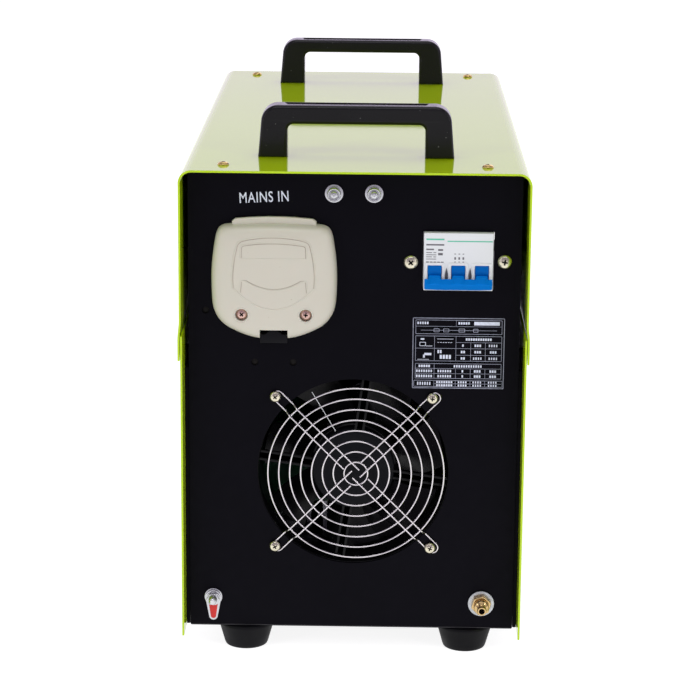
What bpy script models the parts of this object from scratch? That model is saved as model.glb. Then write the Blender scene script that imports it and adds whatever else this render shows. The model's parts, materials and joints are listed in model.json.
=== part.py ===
"""Plasma cutter power unit, modelled as it comes apart on a bench.

The model stands on its four feet. +Z is up, -Y is the mains end with the breaker and the fan,
+Y is the operator's end, and the origin is on the floor under the middle of the case.
Sizes are in millimetres, turned into metres by MM.
"""

import math

import bmesh
import bpy
from mathutils import Matrix, Vector
from mathutils.geometry import interpolate_bezier

MM = 0.001
GAP = 0.3  # between pieces that touch

# Case
CASE_LENGTH = 555.0
END_Y = CASE_LENGTH / 2
SHEET = 1.6
COVER_HALF_WIDTH = 133.0
COVER_TOP = 389.1
COVER_CORNER = 10.0
JOGGLE_TOP = 271.0
JOGGLE_BOTTOM = 260.0
JOGGLE_STEP = 1.2
LIP_BOTTOM = 241.5
SIDE_HALF_WIDTH = 132.2
SIDE_TOP = 261.0
SIDE_BOTTOM = 19.1
BASE_BOTTOM = 20.9
BASE_TOP = BASE_BOTTOM + SHEET
BASE_FLANGE = 13.0
BASE_END_HALF_WIDTH = 124.5
BASE_NOTCH_LENGTH = 28.0
SLOT_LENGTH = 50.0
SLOT_HEIGHT = 4.0
SLOT_PITCH = 11.0
SLOT_ROWS = 7
SLOT_BOTTOM_Z = 80.0
SLOT_COLUMNS = (110.0, 175.0)

# End panels
PANEL_RECESS = 22.0
PANEL_Y = END_Y - PANEL_RECESS
PANEL_HALF_WIDTH = 127.0
PANEL_BOTTOM = BASE_BOTTOM
PANEL_TOP = COVER_TOP - SHEET - GAP
PANEL_CORNER = 4.0
PANEL_FLANGE = 14.0
PROUD_LIMIT = PANEL_RECESS - 2.0
CUT_REACH = 6.0  # how far a cutter runs past the panel it cuts
SCREW_HOLE = 2.3

# Cover screws
COVER_SCREW_X = 100.4
COVER_SCREW_Y = END_Y - 26.5
COVER_SCREW_HEAD = 4.35
COVER_SCREW_HOLE = 2.1

# Handles
HANDLE_Y = END_Y - 72.0
HANDLE_DEPTH = 21.0
HANDLE_FOOT_HALF = 75.9
HANDLE_TOP_HALF = 72.5
HANDLE_INNER_HALF = 53.2
HANDLE_BASE = COVER_TOP + GAP
HANDLE_UNDERSIDE = 416.5
HANDLE_TOP = 429.6
HANDLE_OUTER_RADIUS = 13.0
HANDLE_INNER_RADIUS = 5.0
HANDLE_RECESS_HALF = 56.0
HANDLE_RECESS_DEPTH = 0.7
HANDLE_RIM = 3.4
HANDLE_EDGE = 2.6

# Feet
FOOT_X = {"left": -83.9, "right": 90.1}
FOOT_Y = END_Y - 40.0
FOOT_TOP = BASE_BOTTOM - GAP
FOOT_TOP_RADIUS = 21.8
FOOT_BOTTOM_RADIUS = 17.0
FOOT_EDGE = 2.5
FOOT_BORE = 7.0
FOOT_BORE_DEPTH = 9.0
FOOT_SCREW_HOLE = 3.0

# Shelf for the control board
SHELF_Z = 232.0
SHELF_REAR = -180.0
SHELF_FRONT = 190.0
SHELF_FLANGE = 16.0

# Terminal cover
TERMINAL_X = -61.3
TERMINAL_MID_Z = 302.0
TERMINAL_DEPTH = 14.0
TERMINAL_WALL = 2.0
TERMINAL_LIP_Z = 342.4
TERMINAL_SCREW_OFFSET = 24.5
TERMINAL_SCREW_Z = 276.3
TERMINAL_SCREWS = tuple((TERMINAL_X + side * TERMINAL_SCREW_OFFSET, TERMINAL_SCREW_Z) for side in (-1, 1))
TERMINAL_SCREW_HOLE = 2.1
TERMINAL_HEAD_SEAT = 9.0
TERMINAL_BOSS = 6.4
TERMINAL_BOSS_TOP = 11.7
ENTRY_HALF = 10.7
ENTRY_BOTTOM = 245.0
ENTRY_TOP = 264.5
GROMMET_BOTTOM = 253.6
GROMMET_DEPTH = 9.0
GROMMET_BORE = 3.4
MAINS_HOLE = (TERMINAL_X, 325.0)
MAINS_HOLE_RADIUS = 9.0
CLAMP_BLOCK_HALF = 27.0
CLAMP_BLOCK_BOTTOM = 292.0
CLAMP_BLOCK_TOP = 312.0
CLAMP_PITCH = 18.0

# Breaker
POLE = 18.0
POLES = 3
BREAKER_X = 79.1
BREAKER_Z = 317.8
BREAKER_FACE_HEIGHT = 44.6
BREAKER_BODY_HEIGHT = 78.0
BREAKER_BODY_DEPTH = 58.0
BREAKER_PROUD = 5.0
BREAKER_SCREWS = ((42.9, 316.4), (114.6, 317.4))
LEVER_Z = 311.0
LEVER_DEPTH = 4.5
LEVER_Y = -PANEL_Y - BREAKER_PROUD + LEVER_DEPTH
LEVER_DRUM = 6.2
LEVER_WIDTH = 10.3
TOGGLE_WINDOW_TOP = LEVER_Z + 6.7
TOGGLE_WINDOW_BOTTOM = LEVER_Z - 8.4
LEVER_REST_DEG = -44.0
TIE_BAR_REACH = 13.6
TIE_BAR_HALF_HEIGHT = 4.1
TIE_BAR_HALF_DEPTH = 2.9
STEM_HALF = 2.4
GROOVE_HALF = 1.1
GROOVE_DEPTH = 3.0
GROOVE_BOTTOM = 306.0
GROOVE_TOP = 318.0

# Fan and its guard
FAN_X = 0.4
FAN_Z = 148.4
FAN_HOLE = 74.6
FAN_DUCT = 73.5
FAN_DUCT_WALL = 3.0
FAN_FLANGE_HALF = 76.0
FAN_SCREW = 60.8
FAN_SCREWS = tuple((FAN_X + x, FAN_Z + z) for x in (-FAN_SCREW, FAN_SCREW) for z in (-FAN_SCREW, FAN_SCREW))
FAN_LENGTH = 48.0
FAN_FLANGE = 4.0
STRUT_Y = 9.5
STRUT_ANGLES = (20, 110, 200, 290)
MOTOR_RADIUS = 32.0
FAN_HUB = 35.0
FAN_HUB_HALF_LENGTH = 14.0
FAN_ROTOR_Y = 31.0
FAN_BLADES = 7
BLADE_TIP = 71.0
BLADE_THICKNESS = 1.8
WIRE = 0.75
GUARD_RINGS = 8
GUARD_INNER_RING = 9.2
GUARD_RING_STEP = 8.58
GUARD_STANDOFF = 4.0
GUARD_ARM_HALF_GAP = 4.0
GUARD_ARM_INNER_END = -3.0
GUARD_STEP_START = 1.0
GUARD_STEP_END = 5.0

# Fittings on the mains end, as (x, z)
TOP_STUDS = ((-16.0, 369.0), (14.4, 369.2))
STUD_WASHER = 7.0
STUD_WASHER_BORE = 3.3
STUD_WASHER_HEIGHT = 1.4
STUD_HOLE = 3.4
SPARE_HOLES = ((-76.3, 236.0), (-46.7, 236.0), (-114.1, 276.8))
SPARE_HOLE = 2.6
EARTH = (-109.0, 44.7)
EARTH_TAG = 0.6
EARTH_NUT_FLATS = 10.0
AIR_INLET = (102.3, 41.8)
AIR_INLET_HOLE = 5.4
AIR_WASHER = 10.3
AIR_WASHER_HEIGHT = 1.6
AIR_NUT_FLATS = 14.0
AIR_BORE = 2.3
AIR_TAIL = 34.0
NUT_DEPTH = 5.0

# Fittings on the operator's end, as (x, z)
DISPLAY = (0.0, 338.0)
DISPLAY_HALF = (42.0, 20.0)
DISPLAY_BODY_HALF = (36.0, 14.0)
DISPLAY_PROUD = 3.0
DISPLAY_DEPTH = 20.0
KNOB = (0.0, 262.0)
KNOB_HOLE = 4.2
KNOB_RADIUS = 19.0
KNOB_FLUTES = 12
ROCKER = (-72.0, 262.0)
ROCKER_BEZEL_HALF = (8.5, 11.5)
ROCKER_BARREL_HALF = (6.4, 9.4)
ROCKER_WELL_HALF = (5.3, 8.3)
ROCKER_WIDTH = 10.0
ROCKER_REST_DEG = 10.0
TORCH = (66.0, 92.0)
TORCH_HOLE = 9.3
WORK = (-66.0, 92.0)
WORK_HOLE = 11.3
CONTROL = (0.0, 80.0)
CONTROL_HOLE = 8.3

# Pieces inside the case
FIN_COUNT = 9
FIN_PITCH = 13.0
FIN = 4.0
FIN_WEB = 9.0
HEATSINK_HEIGHT = 78.0
HEATSINK_X = -62.0
HEATSINK_Y = -85.0
HEATSINK_LENGTH = 190.0
BOARD_THICKNESS = 2.0
POWER_BOARD = ((-122.0, -180.0), (-4.0, 60.0))
CAPACITOR_RADIUS = 17.0
CAPACITOR_HEIGHT = 46.0
CAPACITOR_FIRST = (-98.0, -20.0)
CAPACITOR_PITCH = (36.0, 42.0)
RECTIFIER = ((-110.0, -160.0), (-20.0, -110.0))
RECTIFIER_HEIGHT = 25.0
TRANSFORMER = ((2.0, -178.0), (82.0, -108.0))
TRANSFORMER_HEIGHT = 90.0
WINDING_HALF = 9.0
WINDING_ENDS = {"rear": -180.0, "front": -106.0}
CHOKE_AT = (60.0, -20.0)
CHOKE_RADIUS = 30.0
CHOKE_CORE = 15.0
CONTROL_BOARD = ((-90.0, -120.0), (90.0, 110.0))
BOARD_POST = 6.0
POSTS = tuple((x, y) for x in (-80.0, 80.0) for y in (-110.0, 100.0))
DRIVER = ((-60.0, -60.0), (-20.0, -20.0))
DRIVER_HEIGHT = 27.0
RELAY = ((20.0, 30.0), (50.0, 60.0))
RELAY_HEIGHT = 19.0
VALVE_REAR = 150.0
VALVE_FRONT = 190.0
VALVE_HALF = (16.0, 14.0)
VALVE_COIL_HALF = (14.0, 21.0)
HOSE_RADIUS = 5.0
HOSE_PULL = 150.0

ROUND = 16  # sides of a small round piece

OUTWARD = {"rear": (math.pi / 2, 0, 0), "front": (-math.pi / 2, 0, 0)}
SIGN = {"rear": -1, "front": 1}

for old in list(bpy.data.objects):
    bpy.data.objects.remove(old)

parts = bpy.data.collections.new("plasma_cutter_unit")
cutters = bpy.data.collections.new("cutters")
for collection in (parts, cutters):
    bpy.context.scene.collection.children.link(collection)


def make_material(name, color, roughness, metallic=0.0):
    """A Principled material with the piece's plain colour."""
    material = bpy.data.materials.new(name)
    material.use_nodes = True
    shader = material.node_tree.nodes["Principled BSDF"]
    shader.inputs["Base Color"].default_value = (*color, 1.0)
    shader.inputs["Roughness"].default_value = roughness
    shader.inputs["Metallic"].default_value = metallic
    return material


LIME = make_material("lime_paint", (0.42, 0.62, 0.01), 0.2)
BLACK_PAINT = make_material("black_powder_coat", (0.014, 0.014, 0.018), 0.5)
BLACK_PLASTIC = make_material("black_plastic", (0.012, 0.012, 0.013), 0.35)
RUBBER = make_material("rubber", (0.015, 0.015, 0.016), 0.8)
IVORY = make_material("ivory_plastic", (0.65, 0.6, 0.5), 0.4)
WHITE = make_material("white_plastic", (0.75, 0.78, 0.8), 0.35)
BLUE = make_material("blue_plastic", (0.0, 0.14, 0.6), 0.35)
WINDOW = make_material("display_window", (0.03, 0.005, 0.005), 0.1)
CHROME = make_material("chromed_wire", (0.8, 0.79, 0.77), 0.15, 1.0)
ZINC = make_material("zinc_plate", (0.62, 0.64, 0.65), 0.3, 1.0)
YELLOW_ZINC = make_material("yellow_zinc", (0.66, 0.52, 0.25), 0.3, 1.0)
BRASS = make_material("brass", (0.72, 0.52, 0.2), 0.28, 1.0)
ALUMINIUM = make_material("aluminium", (0.7, 0.71, 0.72), 0.4, 1.0)
GALVANISED = make_material("galvanised_steel", (0.5, 0.52, 0.53), 0.45, 1.0)
RED = make_material("red_print", (0.5, 0.02, 0.03), 0.4)
BOARD = make_material("circuit_board", (0.01, 0.12, 0.05), 0.4)
FERRITE = make_material("ferrite", (0.03, 0.03, 0.032), 0.6)
COPPER = make_material("copper_winding", (0.55, 0.22, 0.08), 0.35, 1.0)
HOSE = make_material("air_hose", (0.02, 0.06, 0.25), 0.4)


def place(name, mesh, material, location=(0, 0, 0), rotation=(0, 0, 0)):
    """Puts a mesh in the parts collection, or a helper in the cutters when it has no material."""
    obj = bpy.data.objects.new(name, mesh)
    obj.location = Vector(location) * MM
    obj.rotation_euler = rotation
    if material is None:
        cutters.objects.link(obj)
        obj.hide_render = True
        obj.display_type = "WIRE"
        return obj
    mesh.materials.append(material)
    parts.objects.link(obj)
    return obj


def finish_mesh(mesh, name):
    """Turns a bmesh into a mesh that shades round stretches smooth."""
    data = bpy.data.meshes.new(name)
    bmesh.ops.recalc_face_normals(mesh, faces=mesh.faces)
    mesh.to_mesh(data)
    mesh.free()
    data.shade_smooth()
    data.set_sharp_from_angle(angle=math.radians(35))
    return data


def box(name, low, high, material=None, edge=0.0):
    """A block between two corners, with its edges rounded when edge is set."""
    low, high = Vector(low), Vector(high)
    mesh = bmesh.new()
    bmesh.ops.create_cube(mesh, size=1.0)
    bmesh.ops.scale(mesh, vec=(high - low) * MM, verts=mesh.verts)
    obj = place(name, finish_mesh(mesh, name), material, (low + high) / 2)
    if edge:
        bevel(obj, edge)
    return obj


def around(centre, half, near, far):
    """Two corners of a block centred on an (x, z) point, between two depths."""
    low = (centre[0] - half[0], near, centre[1] - half[1])
    high = (centre[0] + half[0], far, centre[1] + half[1])
    return low, high


def standing_box(name, footprint, bottom, height, material=None, edge=0.0):
    """A block on an (x, y) footprint."""
    low, high = footprint
    return box(name, (*low, bottom), (*high, bottom + height), material, edge)


def bevel(obj, width, segments=2, angle=35):
    modifier = obj.modifiers.new("Rounded edges", "BEVEL")
    modifier.width = width * MM
    modifier.segments = segments
    modifier.limit_method = "ANGLE"
    modifier.angle_limit = math.radians(angle)


def combine(obj, others, operation):
    """Boolean with helper objects, one after another."""
    for other in others:
        modifier = obj.modifiers.new(f"{operation.title()} {other.name}", "BOOLEAN")
        modifier.operation = operation
        modifier.object = other
    return obj


def turned(name, profile, material, location, rotation=(0, 0, 0), steps=ROUND, closed=False):
    """A profile of (radius, height) points, outer side top to bottom, turned about local Z."""
    mesh = bmesh.new()
    points = [mesh.verts.new((radius * MM, 0, height * MM)) for radius, height in profile]
    for start, end in zip(points, points[1:]):
        mesh.edges.new((start, end))
    if closed:
        mesh.edges.new((points[-1], points[0]))
    data = bpy.data.meshes.new(name)
    mesh.to_mesh(data)
    mesh.free()
    obj = place(name, data, material, location, rotation)
    screw = obj.modifiers.new("Turn", "SCREW")
    screw.steps = screw.render_steps = steps
    screw.use_merge_vertices = True
    screw.merge_threshold = 0.00001
    return obj


def arc(centre, radius, start_deg, end_deg, count):
    """Points along an arc, both ends included."""
    angles = (start_deg + (end_deg - start_deg) * step / count for step in range(count + 1))
    return [
        (centre[0] + radius * math.cos(math.radians(a)), centre[1] + radius * math.sin(math.radians(a)))
        for a in angles
    ]


def rounded_rectangle(centre, width, height, radius, count=4):
    corners = ((1, 1, 0), (-1, 1, 90), (-1, -1, 180), (1, -1, 270))
    outline = []
    for across, up, start in corners:
        corner = (
            centre[0] + across * (width / 2 - radius),
            centre[1] + up * (height / 2 - radius),
        )
        outline += arc(corner, radius, start, start + 90, count)
    return outline


def circle(centre, radius, count=ROUND):
    return arc(centre, radius, 0, 360, count)[:-1]


STANDING = (math.pi / 2, 0, 0)  # outline x, y become world X, Z
ACROSS = (math.pi / 2, 0, math.pi / 2)  # outline x, y become world Y, Z


def plate(name, outlines, thickness, material=None, location=(0, 0, 0), rotation=STANDING):
    """Flat outlines, with any holes, given half the thickness each way and made one mesh."""
    curve = bpy.data.curves.new(name, "CURVE")
    curve.dimensions = "2D"
    curve.fill_mode = "BOTH"
    curve.extrude = thickness * MM / 2
    for outline in outlines:
        spline = curve.splines.new("POLY")
        spline.points.add(len(outline) - 1)
        spline.use_cyclic_u = True
        for point, (across, up) in zip(spline.points, outline):
            point.co = (across * MM, up * MM, 0, 1)
    return place(name, mesh_from_curve(curve, name), material, location, rotation)


def mesh_from_curve(curve, name):
    """The curve's evaluated surface as a mesh, with its caps welded on."""
    holder = bpy.data.objects.new(name + "_curve", curve)
    cutters.objects.link(holder)
    graph = bpy.context.evaluated_depsgraph_get()
    raw = bpy.data.meshes.new_from_object(holder.evaluated_get(graph))
    bpy.data.objects.remove(holder)
    mesh = bmesh.new()
    mesh.from_mesh(raw)
    bmesh.ops.remove_doubles(mesh, verts=mesh.verts, dist=0.00001)
    bpy.data.meshes.remove(raw)
    return finish_mesh(mesh, name)


def tube(name, points, radius, material=None, sides_resolution=1, cyclic=False):
    """A round wire or hose along world points, with closed ends."""
    curve = bpy.data.curves.new(name, "CURVE")
    curve.dimensions = "3D"
    curve.bevel_depth = radius * MM
    curve.bevel_resolution = sides_resolution
    curve.use_fill_caps = not cyclic
    spline = curve.splines.new("POLY")
    spline.points.add(len(points) - 1)
    spline.use_cyclic_u = cyclic
    for point, place_at in zip(spline.points, points):
        point.co = (*(Vector(place_at) * MM), 1)
    return place(name, mesh_from_curve(curve, name), material)


def swept_sheet(name, section, material):
    """A bent sheet: an open (x, z) line drawn along Y, given SHEET thickness about the line."""
    mesh = bmesh.new()
    line = [mesh.verts.new((x * MM, -END_Y * MM, z * MM)) for x, z in section]
    edges = [mesh.edges.new(pair) for pair in zip(line, line[1:])]
    swept = bmesh.ops.extrude_edge_only(mesh, edges=edges)["geom"]
    moved = [item for item in swept if isinstance(item, bmesh.types.BMVert)]
    bmesh.ops.translate(mesh, vec=(0, CASE_LENGTH * MM, 0), verts=moved)
    obj = place(name, finish_mesh(mesh, name), material)
    thicken(obj, SHEET, 0.0)
    return obj


def folded_sheet(name, outline, flange, folds, material, location, rotation):
    """A flat sheet with a flange folded up along each edge whose middle passes the folds test."""
    mesh = bmesh.new()
    mesh.faces.new([mesh.verts.new((x * MM, y * MM, 0)) for x, y in outline])
    edges = [e for e in mesh.edges if folds((e.verts[0].co + e.verts[1].co) / 2 / MM)]
    lifted = bmesh.ops.extrude_edge_only(mesh, edges=edges)["geom"]
    moved = [item for item in lifted if isinstance(item, bmesh.types.BMVert)]
    bmesh.ops.translate(mesh, vec=(0, 0, flange * MM), verts=moved)
    obj = place(name, finish_mesh(mesh, name), material, location, rotation)
    thicken(obj, SHEET, 0.0)
    return obj


def thicken(obj, thickness, offset):
    solidify = obj.modifiers.new("Sheet thickness", "SOLIDIFY")
    solidify.thickness = thickness * MM
    solidify.offset = offset
    solidify.use_even_offset = True


def drill(obj, name, holes, axis, low, high, sides=12):
    """Cuts round holes, given as (across, up, radius), between two depths along Y or Z."""
    mesh = bmesh.new()
    for across, up, radius in holes:
        made = bmesh.ops.create_cone(
            mesh, cap_ends=True, segments=sides, radius1=radius * MM, radius2=radius * MM,
            depth=(high - low) * MM,
        )["verts"]
        middle = (low + high) / 2
        if axis == "Y":
            bmesh.ops.rotate(mesh, matrix=Matrix.Rotation(math.pi / 2, 3, "X"), verts=made)
            offset = Vector((across, middle, up))
        else:
            offset = Vector((across, up, middle))
        bmesh.ops.translate(mesh, vec=offset * MM, verts=made)
    return combine(obj, [place(name, finish_mesh(mesh, name), None)], "DIFFERENCE")


def screw_piece(name, location, rotation, head, head_height, shank, length):
    """A pan-head screw whose seat is at its location."""
    profile = [
        (0, head_height),
        (head * 0.75, head_height * 0.85),
        (head, 0.2 * head_height),
        (head, 0),
        (shank, 0),
        (shank, -length),
        (0, -length),
    ]
    return turned(name, profile, YELLOW_ZINC, location, rotation, steps=10)


# ---------------------------------------------------------------- case sheets


def build_cover():
    """The lime cover: one sheet folded over the top, joggled out where it laps the side panels."""
    side = COVER_HALF_WIDTH - SHEET / 2
    top = COVER_TOP - SHEET / 2
    bend = COVER_CORNER - SHEET / 2
    right = [(side + JOGGLE_STEP, LIP_BOTTOM), (side + JOGGLE_STEP, JOGGLE_BOTTOM), (side, JOGGLE_TOP)]
    right += arc((side - bend, top - bend), bend, 0, 90, 6)
    section = right + [(-x, z) for x, z in reversed(right)]
    cover = swept_sheet("top_cover", section, LIME)
    holes = [(x, y, COVER_SCREW_HOLE) for x in (-COVER_SCREW_X, COVER_SCREW_X)
             for y in (-COVER_SCREW_Y, COVER_SCREW_Y)]
    drill(cover, "cover_screw_holes", holes, "Z", PANEL_TOP, COVER_TOP + 2)


def build_side_panel(name, side):
    """A flat lower side panel with cooling slots at the operator's end."""
    wall = side * (SIDE_HALF_WIDTH - SHEET / 2)
    panel = swept_sheet(name, [(wall, SIDE_TOP), (wall, SIDE_BOTTOM)], LIME)
    outlines = []
    for column in SLOT_COLUMNS:
        for row in range(SLOT_ROWS):
            middle = (column, SLOT_BOTTOM_Z + row * SLOT_PITCH)
            outlines.append(rounded_rectangle(middle, SLOT_LENGTH, SLOT_HEIGHT, SLOT_HEIGHT * 0.4, 1))
    slots = plate(name + "_slots", outlines, 10.0, None, (wall, 0, 0), ACROSS)
    combine(panel, [slots], "DIFFERENCE")


def build_base():
    """The base tray, narrowed at both ends so that the end panels hide it."""
    half_x = SIDE_HALF_WIDTH - SHEET - GAP - SHEET / 2
    half_y = PANEL_Y - SHEET - GAP - SHEET / 2
    end_x, notch_y = BASE_END_HALF_WIDTH - SHEET / 2, half_y - BASE_NOTCH_LENGTH
    right = [(end_x, -half_y), (end_x, -notch_y), (half_x, -notch_y),
             (half_x, notch_y), (end_x, notch_y), (end_x, half_y)]
    outline = right + [(-x, y) for x, y in reversed(right)]
    base = folded_sheet("base_plate", outline, BASE_FLANGE, lambda middle: True,
                        BLACK_PAINT, (0, 0, BASE_BOTTOM + SHEET / 2), (0, 0, 0))
    holes = [(x, y, FOOT_SCREW_HOLE) for x in FOOT_X.values() for y in (-FOOT_Y, FOOT_Y)]
    drill(base, "foot_screw_holes", holes, "Z", BASE_BOTTOM - 3, BASE_TOP + 3)


def end_panel(name, end):
    """An end panel with a top flange for the cover screws."""
    height = PANEL_TOP - PANEL_BOTTOM
    centre = (0, PANEL_BOTTOM + height / 2)
    outline = rounded_rectangle(centre, 2 * PANEL_HALF_WIDTH, height, PANEL_CORNER, 3)
    middle = SIGN[end] * (PANEL_Y - SHEET / 2)
    panel = plate(name, [outline], SHEET, BLACK_PAINT, (0, middle, 0))
    half = PANEL_HALF_WIDTH - PANEL_CORNER
    near, far = sorted((middle, SIGN[end] * (PANEL_Y - PANEL_FLANGE)))
    flange = box(name + "_flange", (-half, near, PANEL_TOP - SHEET), (half, far, PANEL_TOP))
    combine(panel, [flange], "UNION")
    holes = [(x, SIGN[end] * COVER_SCREW_Y, COVER_SCREW_HOLE) for x in (-COVER_SCREW_X, COVER_SCREW_X)]
    drill(panel, name + "_flange_holes", holes, "Z", PANEL_TOP - 8, PANEL_TOP + 4)
    return panel


def build_rear_panel():
    panel = end_panel("rear_panel", "rear")
    low, high = -PANEL_Y - CUT_REACH, -PANEL_Y + CUT_REACH
    drill(panel, "fan_hole", [(FAN_X, FAN_Z, FAN_HOLE)], "Y", low, high, 40)
    small = [(x, z, SPARE_HOLE) for x, z in SPARE_HOLES]
    small += [(x, z, SCREW_HOLE) for x, z in BREAKER_SCREWS + FAN_SCREWS]
    small += [(x, z, STUD_HOLE) for x, z in TOP_STUDS + (EARTH,)]
    small += [(x, z, TERMINAL_SCREW_HOLE) for x, z in TERMINAL_SCREWS]
    small += [(*AIR_INLET, AIR_INLET_HOLE), (*MAINS_HOLE, MAINS_HOLE_RADIUS)]
    drill(panel, "rear_small_holes", small, "Y", low, high, 8)
    half = (POLES * POLE / 2 + GAP, BREAKER_FACE_HEIGHT / 2 + GAP)
    window = box("breaker_window", *around((BREAKER_X, BREAKER_Z), half, low, high))
    combine(panel, [window], "DIFFERENCE")


def build_front_panel():
    panel = end_panel("front_panel", "front")
    low, high = PANEL_Y - CUT_REACH, PANEL_Y + CUT_REACH
    holes = [(*KNOB, KNOB_HOLE), (*TORCH, TORCH_HOLE), (*WORK, WORK_HOLE), (*CONTROL, CONTROL_HOLE)]
    drill(panel, "front_round_holes", holes, "Y", low, high, 16)
    cut_outs = {"display": (DISPLAY, DISPLAY_BODY_HALF), "rocker": (ROCKER, ROCKER_BARREL_HALF)}
    for name, (centre, half) in cut_outs.items():
        opening = (half[0] + GAP, half[1] + GAP)
        cut_out = box(name + "_cut_out", *around(centre, opening, low, high))
        combine(panel, [cut_out], "DIFFERENCE")


def build_shelf():
    """The shelf that carries the control board, turned down along the sides."""
    half_x = SIDE_HALF_WIDTH - SHEET - GAP - SHEET / 2
    outline = [(-half_x, SHELF_REAR), (half_x, SHELF_REAR), (half_x, SHELF_FRONT), (-half_x, SHELF_FRONT)]
    folded_sheet("component_shelf", outline, -SHELF_FLANGE, lambda middle: abs(middle.x) > half_x - 1,
                 GALVANISED, (0, 0, SHELF_Z), (0, 0, 0))


# ---------------------------------------------------------------- handles, feet, screws


def build_handle(name, y):
    """A moulded bow handle with legs that splay a little and a shallow recess along its top."""
    slope = (HANDLE_FOOT_HALF - HANDLE_TOP_HALF) / (HANDLE_TOP - HANDLE_BASE)
    corner_z = HANDLE_TOP - HANDLE_OUTER_RADIUS
    corner_x = HANDLE_TOP_HALF - HANDLE_OUTER_RADIUS * (1 - slope)
    inner_z = HANDLE_UNDERSIDE - HANDLE_INNER_RADIUS
    inner_x = HANDLE_INNER_HALF - HANDLE_INNER_RADIUS
    right = [(HANDLE_FOOT_HALF, HANDLE_BASE)]
    right += arc((corner_x, corner_z), HANDLE_OUTER_RADIUS, 5, 90, 5)
    inner = arc((inner_x, inner_z), HANDLE_INNER_RADIUS, 90, 0, 4) + [(HANDLE_INNER_HALF, HANDLE_BASE)]
    outline = right + [(-x, z) for x, z in reversed(right)]
    outline += [(-x, z) for x, z in reversed(inner)] + inner
    handle = plate(name, [outline], HANDLE_DEPTH, BLACK_PLASTIC, (0, y, 0))
    bevel(handle, HANDLE_EDGE, 2, 60)
    recess_half = HANDLE_DEPTH / 2 - HANDLE_RIM
    recess = box(name + "_recess", (-HANDLE_RECESS_HALF, y - recess_half, HANDLE_TOP - HANDLE_RECESS_DEPTH),
                 (HANDLE_RECESS_HALF, y + recess_half, HANDLE_TOP + 3))
    combine(handle, [recess], "DIFFERENCE")


def build_foot(name, x, y):
    """A tapered rubber foot, hollowed under its middle for the screw."""
    profile = [(0, FOOT_TOP), (FOOT_TOP_RADIUS, FOOT_TOP), (FOOT_TOP_RADIUS, FOOT_TOP - 4)]
    profile += arc((FOOT_BOTTOM_RADIUS - FOOT_EDGE, FOOT_EDGE), FOOT_EDGE, 0, -90, 2)
    profile += [(FOOT_BORE, 0.0), (FOOT_BORE, FOOT_BORE_DEPTH), (0, FOOT_BORE_DEPTH)]
    turned(name, profile, RUBBER, (x, y, 0), steps=18)


def build_case_hardware():
    seat = COVER_TOP + GAP
    for end in ("rear", "front"):
        for side, across in (("left", -1), ("right", 1)):
            at = (across * COVER_SCREW_X, SIGN[end] * COVER_SCREW_Y, seat)
            screw_piece(f"cover_screw_{end}_{side}", at, (0, 0, 0), COVER_SCREW_HEAD, 2.4, 1.6, 12.0)
            build_foot(f"foot_{end}_{side}", FOOT_X[side], SIGN[end] * FOOT_Y)
        build_handle(f"{end}_handle", SIGN[end] * HANDLE_Y)


# ---------------------------------------------------------------- mains terminal cover


def terminal_outline():
    """The cover's outline about its own middle line, as (across, up) from the bottom middle."""
    knots = (
        ((0, 255.6), (0, 255.6), (16, 255.6)),
        ((33, 263.8), (24, 259.4), (40.5, 267.4)),
        ((47.3, 284), (46.2, 274.5), (47.9, 290)),
        ((48.1, 304), (48.1, 297), (48.1, 316)),
        ((44.8, 335.5), (46.4, 327), (43.4, 342.6)),
        ((34, 345), (40.5, 344.6), (22, 345.8)),
        ((0, 346.4), (12, 346.4), (0, 346.4)),
    )
    half = []
    for start, end in zip(knots, knots[1:]):
        controls = (start[0], start[2], end[1], end[0])
        half += interpolate_bezier(*(Vector((*c, 0)) for c in controls), 4)[:-1]
    half.append(Vector((*knots[-1][0], 0)))
    right = [(p.x, p.y) for p in half]
    return right + [(-x, z) for x, z in reversed(right[1:-1])]


def terminal_shell(back):
    """The domed shell: rings of the outline that draw in as they rise, closed by a flat face."""
    levels = ((0, 0), (0.4, 6), (2.2, 10), (6, 12.2), (20, TERMINAL_DEPTH))  # (drawn in by, proud)
    outline = terminal_outline()
    half_width = max(x for x, _ in outline)
    half_height = max(z for _, z in outline) - TERMINAL_MID_Z
    mesh = bmesh.new()
    rings = []
    for inset, proud in levels:
        shrink_x, shrink_z = 1 - inset / half_width, 1 - inset / half_height
        rings.append([
            mesh.verts.new((x * shrink_x * MM, -proud * MM, (z - TERMINAL_MID_Z) * shrink_z * MM))
            for x, z in outline
        ])
    for lower, upper in zip(rings, rings[1:]):
        for index in range(len(lower)):
            mesh.faces.new((lower[index - 1], lower[index], upper[index], upper[index - 1]))
    mesh.faces.new(rings[-1])
    mesh.faces.ensure_lookup_table()
    mesh.normal_update()
    if mesh.faces[0].normal.dot(mesh.faces[0].calc_center_median()) < 0:
        bmesh.ops.reverse_faces(mesh, faces=mesh.faces)
    data = bpy.data.meshes.new("terminal_cover")
    mesh.to_mesh(data)
    mesh.free()
    data.shade_smooth()
    shell = place("terminal_cover", data, IVORY, (TERMINAL_X, back, TERMINAL_MID_Z))
    thicken(shell, TERMINAL_WALL, -1.0)
    return shell


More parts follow.
